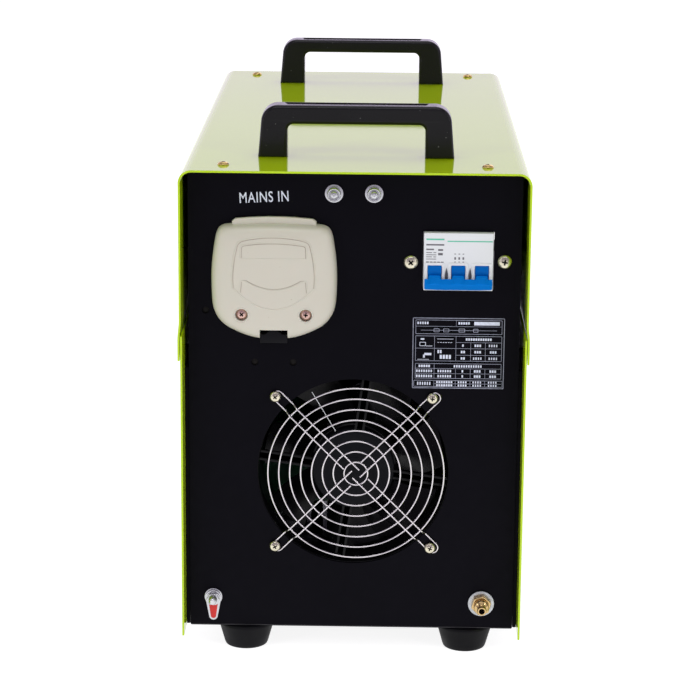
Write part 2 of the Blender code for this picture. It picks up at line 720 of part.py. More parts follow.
def build_terminal_cover():
    """A domed moulding, open towards the panel, with two recessed screws and a cable notch."""
    back = -PANEL_Y - GAP
    cover = terminal_shell(back)
    lip = rounded_rectangle((TERMINAL_X, TERMINAL_LIP_Z), 64.4, 17.0, 3.0)
    added = [plate("terminal_lip", [lip], 6.8, None, (0, back - 3.6, 0))]
    for x, z in TERMINAL_SCREWS:
        profile = [(0, TERMINAL_BOSS_TOP), (TERMINAL_BOSS, TERMINAL_BOSS_TOP), (TERMINAL_BOSS, 0.2), (0, 0.2)]
        added.append(turned("terminal_boss", profile, None, (x, back, z), OUTWARD["rear"], 14))
    combine(cover, added, "UNION")
    drill(cover, "terminal_head_pockets", [(x, z, 4.9) for x, z in TERMINAL_SCREWS], "Y",
          back - 20, back - TERMINAL_HEAD_SEAT, 12)
    drill(cover, "terminal_shank_holes", [(x, z, TERMINAL_SCREW_HOLE) for x, z in TERMINAL_SCREWS], "Y",
          back - 12, back + 2, 8)
    notch = box("cable_notch", (TERMINAL_X - ENTRY_HALF, back - 20, ENTRY_BOTTOM),
                (TERMINAL_X + ENTRY_HALF, back + 2, ENTRY_TOP))
    combine(cover, [notch], "DIFFERENCE")
    for side, (x, z) in zip(("left", "right"), TERMINAL_SCREWS):
        screw_piece(f"terminal_screw_{side}", (x, back - TERMINAL_HEAD_SEAT - GAP, z), OUTWARD["rear"],
                    4.4, 2.2, 1.7, 14.0)
    build_grommet(back)
    build_terminal_block(back)


def build_grommet(back):
    """The rubber cable entry that fills the cover's notch under an arched top."""
    half, shoulder = ENTRY_HALF - GAP, 261.0
    outline = [(-half, GROMMET_BOTTOM), (half, GROMMET_BOTTOM), (half, shoulder)]
    outline += arc((0, 257.5), 6.2, 40, 140, 6) + [(-half, shoulder)]
    outline = [(TERMINAL_X + x, z) for x, z in outline]
    grommet = plate("cable_grommet", [outline], GROMMET_DEPTH, RUBBER, (0, back - GROMMET_DEPTH / 2, 0))
    bore = [(TERMINAL_X, back - GROMMET_DEPTH / 2, GROMMET_BORE)]
    drill(grommet, "cable_bore", bore, "Z", GROMMET_BOTTOM - 4, ENTRY_TOP + 4, 16)


def build_terminal_block(back):
    """The three-way clamp block under the cover."""
    left = TERMINAL_X - CLAMP_BLOCK_HALF
    low = (left, back - 9.5, CLAMP_BLOCK_BOTTOM)
    high = (left + 2 * CLAMP_BLOCK_HALF, back, CLAMP_BLOCK_TOP)
    block = box("terminal_block", low, high, BLACK_PLASTIC, 0.8)
    for number in range(POLES):
        start = left + CLAMP_PITCH * number + 4
        pocket = box(f"clamp_pocket_{number}", (start, back - 12, CLAMP_BLOCK_BOTTOM + 3),
                     (start + 10, back - 5, CLAMP_BLOCK_TOP - 3))
        combine(block, [pocket], "DIFFERENCE")


# ---------------------------------------------------------------- circuit breaker


def build_breaker():
    """A three-pole rail breaker pushed through the panel, with its toggles on one tie bar."""
    face = -PANEL_Y - BREAKER_PROUD
    inside = -PANEL_Y + SHEET + GAP
    back = inside + BREAKER_BODY_DEPTH
    nose, tall = BREAKER_FACE_HEIGHT / 2, BREAKER_BODY_HEIGHT / 2
    outline = [(face, -nose), (face, nose), (inside, nose), (inside, tall),
               (back, tall), (back, -tall), (inside, -tall), (inside, -nose)]
    body = plate("breaker_body", [outline], POLES * POLE, WHITE, (BREAKER_X, 0, BREAKER_Z), ACROSS)
    half = LEVER_WIDTH / 2 + GAP
    pockets = []
    for pole in range(POLES):
        x = BREAKER_X + (pole - 1) * POLE
        pockets.append(box(f"toggle_pocket_{pole}", (x - half, face - 2, TOGGLE_WINDOW_BOTTOM),
                           (x + half, LEVER_Y + LEVER_DRUM + 0.5, TOGGLE_WINDOW_TOP)))
    for seam in (-1, 1):
        x = BREAKER_X + seam * POLE / 2
        pockets.append(box(f"pole_groove_{seam}", (x - GROOVE_HALF, face - 2, GROOVE_BOTTOM),
                           (x + GROOVE_HALF, face + GROOVE_DEPTH, GROOVE_TOP)))
    combine(body, pockets, "DIFFERENCE")
    build_breaker_lever(math.radians(LEVER_REST_DEG))
    for side, (x, z) in zip(("left", "right"), BREAKER_SCREWS):
        at = (x, -PANEL_Y - GAP, z)
        screw_piece(f"breaker_screw_{side}", at, OUTWARD["rear"], 5.4, 3.2, 2.0, 12.0)


def build_breaker_lever(tilt):
    """Three toggles, each a drum with a stem, joined by the tie bar."""
    lever = tie_bar(tilt)
    half = LEVER_WIDTH / 2
    pieces = []
    for pole in range(POLES):
        axis = (BREAKER_X + (pole - 1) * POLE, LEVER_Y, LEVER_Z)
        drum = [(0, half), (LEVER_DRUM, half), (LEVER_DRUM, -half), (0, -half)]
        pieces.append(turned(f"toggle_drum_{pole}", drum, None, axis, (0, math.pi / 2, 0)))
        low, high = (0.2 - half, -TIE_BAR_REACH, -STEM_HALF), (half - 0.2, -2, STEM_HALF)
        stem = box(f"toggle_stem_{pole}", low, high)
        stem.data.transform(Matrix.Translation(stem.location))
        stem.location = Vector(axis) * MM
        stem.rotation_euler = (-tilt, 0, 0)
        pieces.append(stem)
    combine(lever, pieces, "UNION")


def tie_bar(tilt):
    """The bar that joins the three toggles, pivoted on their common axis."""
    outer, inner = -TIE_BAR_REACH - TIE_BAR_HALF_DEPTH, -TIE_BAR_REACH + TIE_BAR_HALF_DEPTH
    high = TIE_BAR_HALF_HEIGHT
    outline = [(outer, 1 - high), (outer + 1, -high), (inner, -high), (inner, high),
               (outer + 1.4, high), (outer, high - 1.4)]
    at = (BREAKER_X, LEVER_Y, LEVER_Z)
    lever = plate("breaker_lever", [outline], POLES * POLE - 2.4, BLUE, at, ACROSS)
    turn = Matrix.Rotation(-tilt, 4, "X") @ lever.rotation_euler.to_matrix().to_4x4()
    lever.data.transform(turn)
    lever.rotation_euler = (0, 0, 0)
    return lever


# ---------------------------------------------------------------- fan and guard


def build_fan():
    """An axial fan behind the panel: a flanged duct with a strutted motor, and its rotor."""
    front = -PANEL_Y + SHEET + GAP
    centre = (FAN_X, front, FAN_Z)
    outline = rounded_rectangle((FAN_X, FAN_Z), 2 * FAN_FLANGE_HALF, 2 * FAN_FLANGE_HALF, 16)
    holes = [circle((FAN_X, FAN_Z), FAN_DUCT + 1, 36)]
    holes += [circle(screw, SCREW_HOLE, 8) for screw in FAN_SCREWS]
    frame = plate("fan_frame", [outline] + holes, FAN_FLANGE, BLACK_PLASTIC, (0, front + FAN_FLANGE / 2, 0))
    outside = FAN_DUCT + FAN_DUCT_WALL
    duct = [(outside, -1), (outside, -FAN_LENGTH), (FAN_DUCT, -FAN_LENGTH), (FAN_DUCT, -1)]
    pieces = [turned("fan_duct", duct, None, centre, OUTWARD["rear"], 36, closed=True)]
    for angle in STRUT_ANGLES:
        strut = box(f"fan_strut_{angle}", (MOTOR_RADIUS - 4, -1.6, -2.5), (FAN_DUCT + 1.5, 1.6, 2.5))
        strut.data.transform(Matrix.Translation(strut.location))
        strut.location = Vector((FAN_X, front + STRUT_Y, FAN_Z)) * MM
        strut.rotation_euler = (0, math.radians(angle), 0)
        pieces.append(strut)
    motor = [(0, -6), (MOTOR_RADIUS - 2, -6), (MOTOR_RADIUS, -8), (MOTOR_RADIUS, -14), (0, -14)]
    pieces.append(turned("fan_motor", motor, None, centre, OUTWARD["rear"], 20))
    combine(frame, pieces, "UNION")

    end = FAN_HUB_HALF_LENGTH
    hub = [(0, end), (FAN_HUB - 2, end), (FAN_HUB, end - 2), (FAN_HUB, -end), (0, -end)]
    middle = (FAN_X, front + FAN_ROTOR_Y, FAN_Z)
    rotor = turned("fan_rotor", hub, BLACK_PLASTIC, middle, OUTWARD["rear"], 20)
    combine(rotor, [build_blade(number, rotor.location) for number in range(FAN_BLADES)], "UNION")


def build_blade(number, centre):
    """One twisted blade, steeper at its root than at its tip."""
    mesh = bmesh.new()
    turn = math.radians(360 / FAN_BLADES * number)
    root = FAN_HUB - 2
    rows = []
    for radial in range(4):
        share = radial / 3
        radius = root + share * (BLADE_TIP - root)
        half_chord = 16 + 6 * share
        pitch = math.radians(42 - 16 * share)
        row = []
        for chord in range(3):
            along = (chord - 1) * half_chord
            angle = turn + along * math.cos(pitch) / radius + 0.25 * share
            camber = 2.5 * (1 - (along / half_chord) ** 2)
            height = along * math.sin(pitch) * 0.8 + camber
            point = Vector((radius * math.cos(angle), height, radius * math.sin(angle)))
            row.append(mesh.verts.new(point * MM))
        rows.append(row)
    for inner, outer in zip(rows, rows[1:]):
        for index in range(2):
            mesh.faces.new((inner[index], inner[index + 1], outer[index + 1], outer[index]))
    name = f"fan_blade_{number}"
    obj = place(name, finish_mesh(mesh, name), None)
    obj.location = centre
    thicken(obj, BLADE_THICKNESS, 0.0)
    return obj


def build_guard():
    """Eight wire rings welded behind four hairpin arms that step back to the panel."""
    ring_y = -PANEL_Y - GUARD_STANDOFF
    tail_y = -PANEL_Y - GAP - WIRE
    rings = []
    for number in range(GUARD_RINGS):
        radius = GUARD_INNER_RING + GUARD_RING_STEP * number
        sides = 10 + 3 * number
        points = [(FAN_X + x, ring_y, FAN_Z + z) for x, z in circle((0, 0), radius, sides)]
        rings.append(tube(f"guard_ring_{number}", points, WIRE, None, 0, cyclic=True))
    arms = [build_guard_arm(quarter, ring_y - 1.1, tail_y) for quarter in range(4)]
    guard = rings.pop()
    cutters.objects.unlink(guard)
    parts.objects.link(guard)
    guard.hide_render = False
    guard.display_type = "TEXTURED"
    guard.name = "fan_guard"
    guard.data.materials.append(CHROME)
    combine(guard, arms + rings, "UNION")
    seat = tail_y - WIRE - GAP
    names = ("lower_left", "upper_left", "lower_right", "upper_right")
    for name, (x, z) in zip(names, FAN_SCREWS):
        screw_piece(f"guard_screw_{name}", (x, seat, z), OUTWARD["rear"], 4.3, 2.6, 1.9, 12.0)


def build_guard_arm(quarter, arm_y, tail_y):
    """A hairpin of wire round a screw: one leg runs in past the middle, the other stops at the inner ring."""
    direction = math.radians(45 + 90 * quarter)
    along = Vector((math.cos(direction), 0, math.sin(direction)))
    aside = Vector((-math.sin(direction), 0, math.cos(direction)))
    outer = GUARD_INNER_RING + GUARD_RING_STEP * (GUARD_RINGS - 1)
    step, tail = outer + GUARD_STEP_START, outer + GUARD_STEP_END
    loop = math.hypot(FAN_SCREW, FAN_SCREW)
    half = GUARD_ARM_HALF_GAP
    line = [(GUARD_INNER_RING, half, arm_y), (step, half, arm_y), (tail, half, tail_y)]
    line += [(loop + x, z, tail_y) for x, z in arc((0, 0), half, 90, -90, 4)]
    line += [(tail, -half, tail_y), (step, -half, arm_y), (GUARD_ARM_INNER_END, -half, arm_y)]
    points = []
    for distance, offset, y in line:
        point = along * distance + aside * offset
        points.append((FAN_X + point.x, y, FAN_Z + point.z))
    return tube(f"guard_arm_{quarter}", points, WIRE, None, 0)


# ---------------------------------------------------------------- small fittings, mains end


def washer_ring(name, centre, radius, bore, height, material):
    profile = [(radius, height), (radius, 0), (bore, 0), (bore, height)]
    at = (centre[0], -PANEL_Y - GAP, centre[1])
    turned(name, profile, material, at, OUTWARD["rear"], ROUND, closed=True)


def hexagon_nut(name, centre, across_flats, bore, material, back):
    """A nut whose flat back lies at the given depth."""
    radius = across_flats / math.sqrt(3)
    outlines = [circle(centre, radius, 6), circle(centre, bore, 12)]
    nut = plate(name, outlines, NUT_DEPTH, material, (0, back - NUT_DEPTH / 2, 0))
    bevel(nut, 0.5, 1, 50)


def build_top_studs():
    panel = -PANEL_Y - GAP
    seat = STUD_WASHER_HEIGHT + GAP
    for side, (x, z) in zip(("left", "right"), TOP_STUDS):
        name = f"top_stud_washer_{side}"
        washer_ring(name, (x, z), STUD_WASHER, STUD_WASHER_BORE, STUD_WASHER_HEIGHT, ZINC)
        stud = [(0, 9.0), (1.6, 8.7), (2.9, 7.6), (2.9, 6.2), (4.8, 5.6), (4.8, seat), (3.0, seat),
                (3.0, -10), (0, -10)]
        turned(f"top_stud_{side}", stud, ZINC, (x, panel, z), OUTWARD["rear"], 12)


def build_earth_point():
    """The earth bolt with its washer, its hanging tag and its nut."""
    panel = -PANEL_Y - GAP
    x, z = EARTH
    washer_ring("earth_washer", EARTH, STUD_WASHER, STUD_WASHER_BORE, STUD_WASHER_HEIGHT, ZINC)
    tag_back = panel - STUD_WASHER_HEIGHT - GAP
    tag = arc((0, 0), 6.3, -18, 198, 10) + arc((0, -15.5), 3.4, 192, 348, 6)
    outlines = [[(x + px, z + pz) for px, pz in tag], circle(EARTH, STUD_WASHER_BORE)]
    plate("earth_tag", outlines, EARTH_TAG, RED, (0, tag_back - EARTH_TAG / 2, 0))
    hexagon_nut("earth_nut", EARTH, EARTH_NUT_FLATS, 3.3, ZINC, tag_back - EARTH_TAG - GAP)
    bolt = [(0, 14), (2.2, 14), (2.9, 13.2), (2.9, -4), (5.4, -4), (5.4, -8), (0, -8)]
    turned("earth_bolt", bolt, ZINC, (x, panel, z), OUTWARD["rear"], 12)


def build_air_inlet():
    """The compressed-air inlet: washer, nut and a barbed tail that reaches inside."""
    panel = -PANEL_Y - GAP
    x, z = AIR_INLET
    washer_ring("air_inlet_washer", AIR_INLET, AIR_WASHER, AIR_INLET_HOLE, AIR_WASHER_HEIGHT, ALUMINIUM)
    hexagon_nut("air_inlet_nut", AIR_INLET, AIR_NUT_FLATS, 5.3, BRASS, panel - AIR_WASHER_HEIGHT - GAP)
    tip = PROUD_LIMIT - GAP
    barb = [(AIR_BORE, tip), (3.3, tip), (3.7, tip - 1.2), (3.5, tip - 3), (3.5, 12.6), (5.5, 12.2),
            (5.5, 7.6), (5.0, 7.4), (5.0, -22), (3.5, -22), (3.5, -AIR_TAIL), (AIR_BORE, -AIR_TAIL)]
    turned("air_inlet_barb", barb, BRASS, (x, panel, z), OUTWARD["rear"], 14, closed=True)


# ---------------------------------------------------------------- operator's end


def build_display(panel):
    bezel = box("display_window", *around(DISPLAY, DISPLAY_HALF, panel, panel + DISPLAY_PROUD), WINDOW, 1.2)
    body = box("display_body", *around(DISPLAY, DISPLAY_BODY_HALF, panel - DISPLAY_DEPTH, panel + 1))
    combine(bezel, [body], "UNION")


def build_current_control(panel):
    """The potentiometer in the panel and the fluted knob on its shaft."""
    x, z = KNOB
    control = [(0, 13), (3.0, 13), (3.0, 3.0), (7.0, 3.0), (7.0, 0), (4.0, 0), (4.0, -4), (12, -4),
               (12, -14), (0, -14)]
    turned("current_control", control, ZINC, (x, panel, z), OUTWARD["front"], 12)
    knob = [(0, 19), (14.5, 19), (16, 17.5), (17.5, 6), (KNOB_RADIUS, 4), (KNOB_RADIUS, 3.3), (8, 3.3),
            (8, 5), (3.3, 5), (3.3, 13.5), (0, 13.5)]
    dial = turned("current_knob", knob, BLACK_PLASTIC, (x, panel, z), OUTWARD["front"], 24)
    flutes = [(flute_x, flute_z, 2.2) for flute_x, flute_z in circle(KNOB, KNOB_RADIUS - 0.8, KNOB_FLUTES)]
    drill(dial, "knob_flutes", flutes, "Y", panel + 7, panel + 30, 6)


def build_mode_switch(panel):
    """A rocker switch snapped into the panel."""
    x, z = ROCKER
    bezel = around(ROCKER, ROCKER_BEZEL_HALF, panel, panel + 2)
    housing = box("mode_switch_body", *bezel, BLACK_PLASTIC, 0.6)
    barrel = box("mode_switch_barrel", *around(ROCKER, ROCKER_BARREL_HALF, panel - 18, panel + 1))
    well = box("mode_switch_well", *around(ROCKER, ROCKER_WELL_HALF, panel - 8, panel + 4))
    combine(housing, [barrel], "UNION")
    combine(housing, [well], "DIFFERENCE")
    upper = [(3.4, 0), (5.2, 6.6), (3.5, 7.4), (2.5, 5), (-2.5, 5)]
    outline = upper + [(across, -up) for across, up in reversed(upper[1:])]
    rocker = plate("mode_rocker", [outline], ROCKER_WIDTH, BLACK_PLASTIC, (x, panel - 1.5, z), ACROSS)
    tip = Matrix.Rotation(math.radians(ROCKER_REST_DEG), 4, "X")
    rocker.data.transform(tip @ rocker.rotation_euler.to_matrix().to_4x4())
    rocker.rotation_euler = (0, 0, 0)


def build_sockets(panel):
    """The torch connector, the work-lead socket and the trigger socket."""
    length = PROUD_LIMIT - GAP
    torch = [(4.6, length), (9.5, length), (10.5, length - 1), (10.5, 9), (14.5, 8.5), (14.5, 0), (9.0, 0),
             (9.0, -20), (5.5, -20), (5.5, -30), (2.4, -30), (2.4, 6), (4.6, 7)]
    work = [(0, -8), (7.0, -8), (7.0, 14), (15.5, 14), (17.5, 12), (19.5, 2.5), (19.5, 0), (11.0, 0),
            (11.0, -16), (0, -16)]
    control = [(0, -2), (5.5, -2), (5.5, 9), (7.6, 9), (7.6, 3), (11, 3), (11, 0), (8.0, 0), (8.0, -12),
               (0, -12)]
    for name, (x, z), profile, material, closed in (
        ("torch_connector", TORCH, torch, BRASS, True),
        ("work_socket", WORK, work, BLACK_PLASTIC, False),
        ("control_socket", CONTROL, control, ZINC, False),
    ):
        turned(name, profile, material, (x, panel, z), OUTWARD["front"], ROUND, closed)


# ---------------------------------------------------------------- inside the case


def build_heatsink(floor):
    half = ((FIN_COUNT - 1) * FIN_PITCH + FIN) / 2
    comb = [(-half, 0), (half, 0)]
    for number in reversed(range(FIN_COUNT)):
        left = -half + number * FIN_PITCH
        comb += [(left + FIN, HEATSINK_HEIGHT), (left, HEATSINK_HEIGHT)]
        if number:
            comb += [(left, FIN_WEB), (left - FIN_PITCH + FIN, FIN_WEB)]
    outline = [(x + HEATSINK_X, z + floor) for x, z in comb]
    plate("heatsink", [outline], HEATSINK_LENGTH, ALUMINIUM, (0, HEATSINK_Y, 0))


def build_power_board(bottom):
    """The power board with its bus capacitors and rectifier, lying on the heatsink."""
    board = standing_box("power_board", POWER_BOARD, bottom, BOARD_THICKNESS, BOARD)
    radius, height = CAPACITOR_RADIUS, CAPACITOR_HEIGHT
    can = [(0, height), (radius - 1, height), (radius, height - 1), (radius, 0), (0, 0)]
    fitted = []
    for number in range(4):
        x = CAPACITOR_FIRST[0] + CAPACITOR_PITCH[0] * (number % 2)
        y = CAPACITOR_FIRST[1] + CAPACITOR_PITCH[1] * (number // 2)
        fitted.append(turned(f"bus_capacitor_{number}", can, None, (x, y, bottom + 1)))
    fitted.append(standing_box("bridge_rectifier", RECTIFIER, bottom + 1, RECTIFIER_HEIGHT))
    combine(board, fitted, "UNION")


def build_magnetics(floor):
    """The main transformer with its windings, and the output choke beside it."""
    core = standing_box("main_transformer", TRANSFORMER, floor, TRANSFORMER_HEIGHT, FERRITE, 1.5)
    (left, _), (right, _) = TRANSFORMER
    for end, y in WINDING_ENDS.items():
        footprint = ((left + 14, y - WINDING_HALF), (right - 14, y + WINDING_HALF))
        winding = standing_box(f"winding_{end}", footprint, floor + 14, TRANSFORMER_HEIGHT - 28)
        combine(core, [winding], "UNION")
    bpy.ops.mesh.primitive_torus_add(
        major_segments=18, minor_segments=8, major_radius=CHOKE_RADIUS * MM, minor_radius=CHOKE_CORE * MM
    )
    choke = bpy.context.object
    for holder in list(choke.users_collection):
        holder.objects.unlink(choke)
    parts.objects.link(choke)
    choke.name = "output_choke"
    choke.location = Vector((*CHOKE_AT, floor + CHOKE_CORE + 0.2)) * MM
    choke.data.materials.append(COPPER)
    choke.data.shade_smooth()


def build_control_board(shelf_top):
    """The control board on its four posts."""
    board_bottom = shelf_top + BOARD_POST
    board = standing_box("control_board", CONTROL_BOARD, board_bottom, BOARD_THICKNESS, BOARD)
    fitted = []
    for number, (x, y) in enumerate(POSTS):
        footprint = ((x - 4, y - 4), (x + 4, y + 4))
        fitted.append(standing_box(f"board_post_{number}", footprint, shelf_top, BOARD_POST + 1))
    fitted.append(standing_box("driver_transformer", DRIVER, board_bottom + 1, DRIVER_HEIGHT))
    fitted.append(standing_box("relay", RELAY, board_bottom + 1, RELAY_HEIGHT))
    combine(board, fitted, "UNION")


def build_air_path():
    """The solenoid valve behind the torch connector, and the hose to it from the inlet."""
    x, z = TORCH
    valve = box("solenoid_valve", *around(TORCH, VALVE_HALF, VALVE_REAR, VALVE_FRONT), BRASS, 1.0)
    coil_centre = (x, z + 10 + VALVE_COIL_HALF[1])
    coil = box("valve_coil", *around(coil_centre, VALVE_COIL_HALF, VALVE_REAR + 3, VALVE_FRONT - 3))
    reach = PANEL_Y + GAP - 30 - 2 * GAP - VALVE_FRONT - 1
    outlet = [(0, reach), (5.0, reach), (5.0, -2), (0, -2)]
    pipe = turned("valve_outlet", outlet, None, (x, VALVE_FRONT, z), OUTWARD["front"], ROUND)
    combine(valve, [coil, pipe], "UNION")
    start = Vector((AIR_INLET[0], -PANEL_Y + AIR_TAIL, AIR_INLET[1]))
    end = Vector((x, VALVE_REAR - GAP, z))
    pull = Vector((0, HOSE_PULL, 0))
    bend = interpolate_bezier(start, start + pull, end - pull, end, 22)
    tube("air_hose", [tuple(point) for point in bend], HOSE_RADIUS, HOSE, 2)


build_cover()
build_side_panel("side_panel_left", -1)
build_side_panel("side_panel_right", 1)
build_base()
build_rear_panel()
build_front_panel()
build_shelf()
build_case_hardware()
build_terminal_cover()
build_breaker()
build_fan()
build_guard()
build_top_studs()
build_earth_point()
build_air_inlet()
build_display(PANEL_Y + GAP)
build_current_control(PANEL_Y + GAP)
build_mode_switch(PANEL_Y + GAP)
build_sockets(PANEL_Y + GAP)
build_heatsink(BASE_TOP + GAP)
build_power_board(BASE_TOP + HEATSINK_HEIGHT + 2 * GAP)
build_magnetics(BASE_TOP + GAP)
build_control_board(SHELF_Z + SHEET / 2 + GAP)
build_air_path()
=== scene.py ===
"""Looks for the plasma cutter power unit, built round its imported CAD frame.

Places come from the frame's boxes. Sizes written here are in millimetres, turned into metres by MM,
apart from those of the camera and the lights, which are in metres.
-Y is the mains end, +Y the operator's end, and +Z is up.
"""

import json
import math

import bmesh
import bpy
from mathutils import Matrix, Vector
from mathutils.bvhtree import BVHTree
from mathutils.geometry import interpolate_bezier


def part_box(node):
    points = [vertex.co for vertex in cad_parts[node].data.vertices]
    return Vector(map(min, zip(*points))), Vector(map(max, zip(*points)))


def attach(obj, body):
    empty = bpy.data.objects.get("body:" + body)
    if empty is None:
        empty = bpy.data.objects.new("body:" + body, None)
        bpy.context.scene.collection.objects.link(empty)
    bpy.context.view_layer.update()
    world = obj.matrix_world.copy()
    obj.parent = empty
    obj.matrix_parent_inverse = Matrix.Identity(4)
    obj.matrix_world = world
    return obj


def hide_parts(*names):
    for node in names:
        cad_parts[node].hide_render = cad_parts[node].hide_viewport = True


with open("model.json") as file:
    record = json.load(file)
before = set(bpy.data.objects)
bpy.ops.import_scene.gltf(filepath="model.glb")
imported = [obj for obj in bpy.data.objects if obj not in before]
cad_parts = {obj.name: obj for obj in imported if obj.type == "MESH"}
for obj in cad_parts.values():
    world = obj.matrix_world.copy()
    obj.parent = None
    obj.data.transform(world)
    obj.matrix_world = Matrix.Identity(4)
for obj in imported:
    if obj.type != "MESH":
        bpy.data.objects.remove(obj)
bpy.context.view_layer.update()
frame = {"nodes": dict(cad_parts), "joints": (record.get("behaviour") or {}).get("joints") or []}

SCENE = bpy.context.scene
MM = 0.001
SHEET = 1.6


def box_of(node):
    """A CAD node's lowest and highest corners, in millimetres."""
    low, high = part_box(node)
    return low / MM, high / MM


def middle_of(node):
    """The middle of a node's box, in millimetres."""
    low, high = box_of(node)
    return (low + high) / 2


def on_face(node, depth):
    """The point at a depth in line with a node's middle."""
    middle = middle_of(node)
    return Vector((middle.x, depth, middle.z))


COVER_LOW, COVER_HIGH = box_of("top_cover")
PANEL_LOW, PANEL_HIGH = box_of("rear_panel")
REAR = PANEL_LOW.y  # outer face of the mains end
FRONT = box_of("front_panel")[1].y  # outer face of the operator's end
JOINTS = {joint["name"]: Vector(joint["pos_m"]) / MM for joint in frame["joints"]}
FAN = JOINTS["fan_spin"]

# ---- materials

LOOKS = {}


def noise_node(tree, source, scale, detail=3.0):
    """A noise texture read through the given coordinates."""
    node = tree.nodes.new("ShaderNodeTexNoise")
    node.inputs["Scale"].default_value = scale
    node.inputs["Detail"].default_value = detail
    tree.links.new(source, node.inputs["Vector"])
    return node


def remap(tree, source, low, high, start=0.3, end=0.7):
    """Spreads a noise value over a range."""
    node = tree.nodes.new("ShaderNodeMapRange")
    tree.links.new(source, node.inputs["Value"])
    for name, value in (("From Min", start), ("From Max", end), ("To Min", low), ("To Max", high)):
        node.inputs[name].default_value = value
    return node.outputs["Result"]


def coordinate(tree, kind, axis):
    """One axis of a texture coordinate."""
    split = tree.nodes.new("ShaderNodeSeparateXYZ")
    tree.links.new(tree.nodes.new("ShaderNodeTexCoord").outputs[kind], split.inputs["Vector"])
    return split.outputs[axis]


def blend_colors(tree, factor, first, second):
    """A colour mix of the given kind."""
    node = tree.nodes.new("ShaderNodeMix")
    node.data_type = "RGBA"
    tree.links.new(factor, node.inputs["Factor"])
    for socket, value in ((node.inputs[6], first), (node.inputs[7], second)):
        if isinstance(value, bpy.types.NodeSocket):
            tree.links.new(value, socket)
        else:
            socket.default_value = (*value, 1.0)
    return node.outputs[2]


def look(name, slot, color, tint, patch, roughness, spread, grain, height, specular=0.5, metallic=0.0,
         stretch=(1, 1, 1), specks=None, edge=None, settings=None):
    """A procedural finish: mottled colour, uneven gloss, a fine grain, and specks or a painted highlight on
    sharp edges.

    tint is how far the colour wanders over patches of a size, spread how far the roughness does, and
    height the grain's depth in millimetres. specks is (colour, share of the surface) and edge the colour
    of a painted highlight along sharp edges, standing for light caught there.
    """
    material = bpy.data.materials.new(name)
    material.use_nodes = True
    tree = material.node_tree
    shader = tree.nodes["Principled BSDF"]
    shader.inputs["Metallic"].default_value = metallic
    shader.inputs["Specular IOR Level"].default_value = specular
    for socket, value in (settings or {}).items():
        shader.inputs[socket].default_value = value
    place = tree.nodes.new("ShaderNodeTexCoord")
    mapping = tree.nodes.new("ShaderNodeMapping")
    mapping.inputs["Scale"].default_value = stretch
    tree.links.new(place.outputs["Object"], mapping.inputs["Vector"])
    where = mapping.outputs["Vector"]

    mottle = remap(tree, noise_node(tree, where, patch).outputs["Fac"], 0.0, 1.0)
    darker = [channel * (1 - tint) for channel in color]
    lighter = [min(1.0, channel * (1 + tint)) for channel in color]
    base = blend_colors(tree, mottle, darker, lighter)
    if specks:
        dots = noise_node(tree, where, 420.0, 2.0)
        mask = remap(tree, dots.outputs["Fac"], 0.0, 1.0, 0.76 - specks[1], 0.78 - specks[1])
        base = blend_colors(tree, mask, base, specks[0])
    # Sharp edges, found by pointiness, get a lighter colour: a painted highlight where light would catch
    # them.
    if edge:
        bend = tree.nodes.new("ShaderNodeNewGeometry").outputs["Pointiness"]
        edge_highlight_mask = remap(tree, bend, 0.0, 0.5, 0.53, 0.6)
        base = blend_colors(tree, edge_highlight_mask, base, edge)
    tree.links.new(base, shader.inputs["Base Color"])

    uneven = noise_node(tree, where, patch * 5, 5.0)
    gloss = remap(tree, uneven.outputs["Fac"], max(0.02, roughness - spread), roughness + spread)
    tree.links.new(gloss, shader.inputs["Roughness"])

    bump = tree.nodes.new("ShaderNodeBump")
    bump.inputs["Distance"].default_value = height * MM
    bump.inputs["Strength"].default_value = 1.0
    tree.links.new(noise_node(tree, where, grain, 2.0).outputs["Fac"], bump.inputs["Height"])
    tree.links.new(bump.outputs["Normal"], shader.inputs["Normal"])
    if shader.inputs["Coat Weight"].default_value:
        tree.links.new(bump.outputs["Normal"], shader.inputs["Coat Normal"])
    LOOKS[name] = (material, slot)
    return material


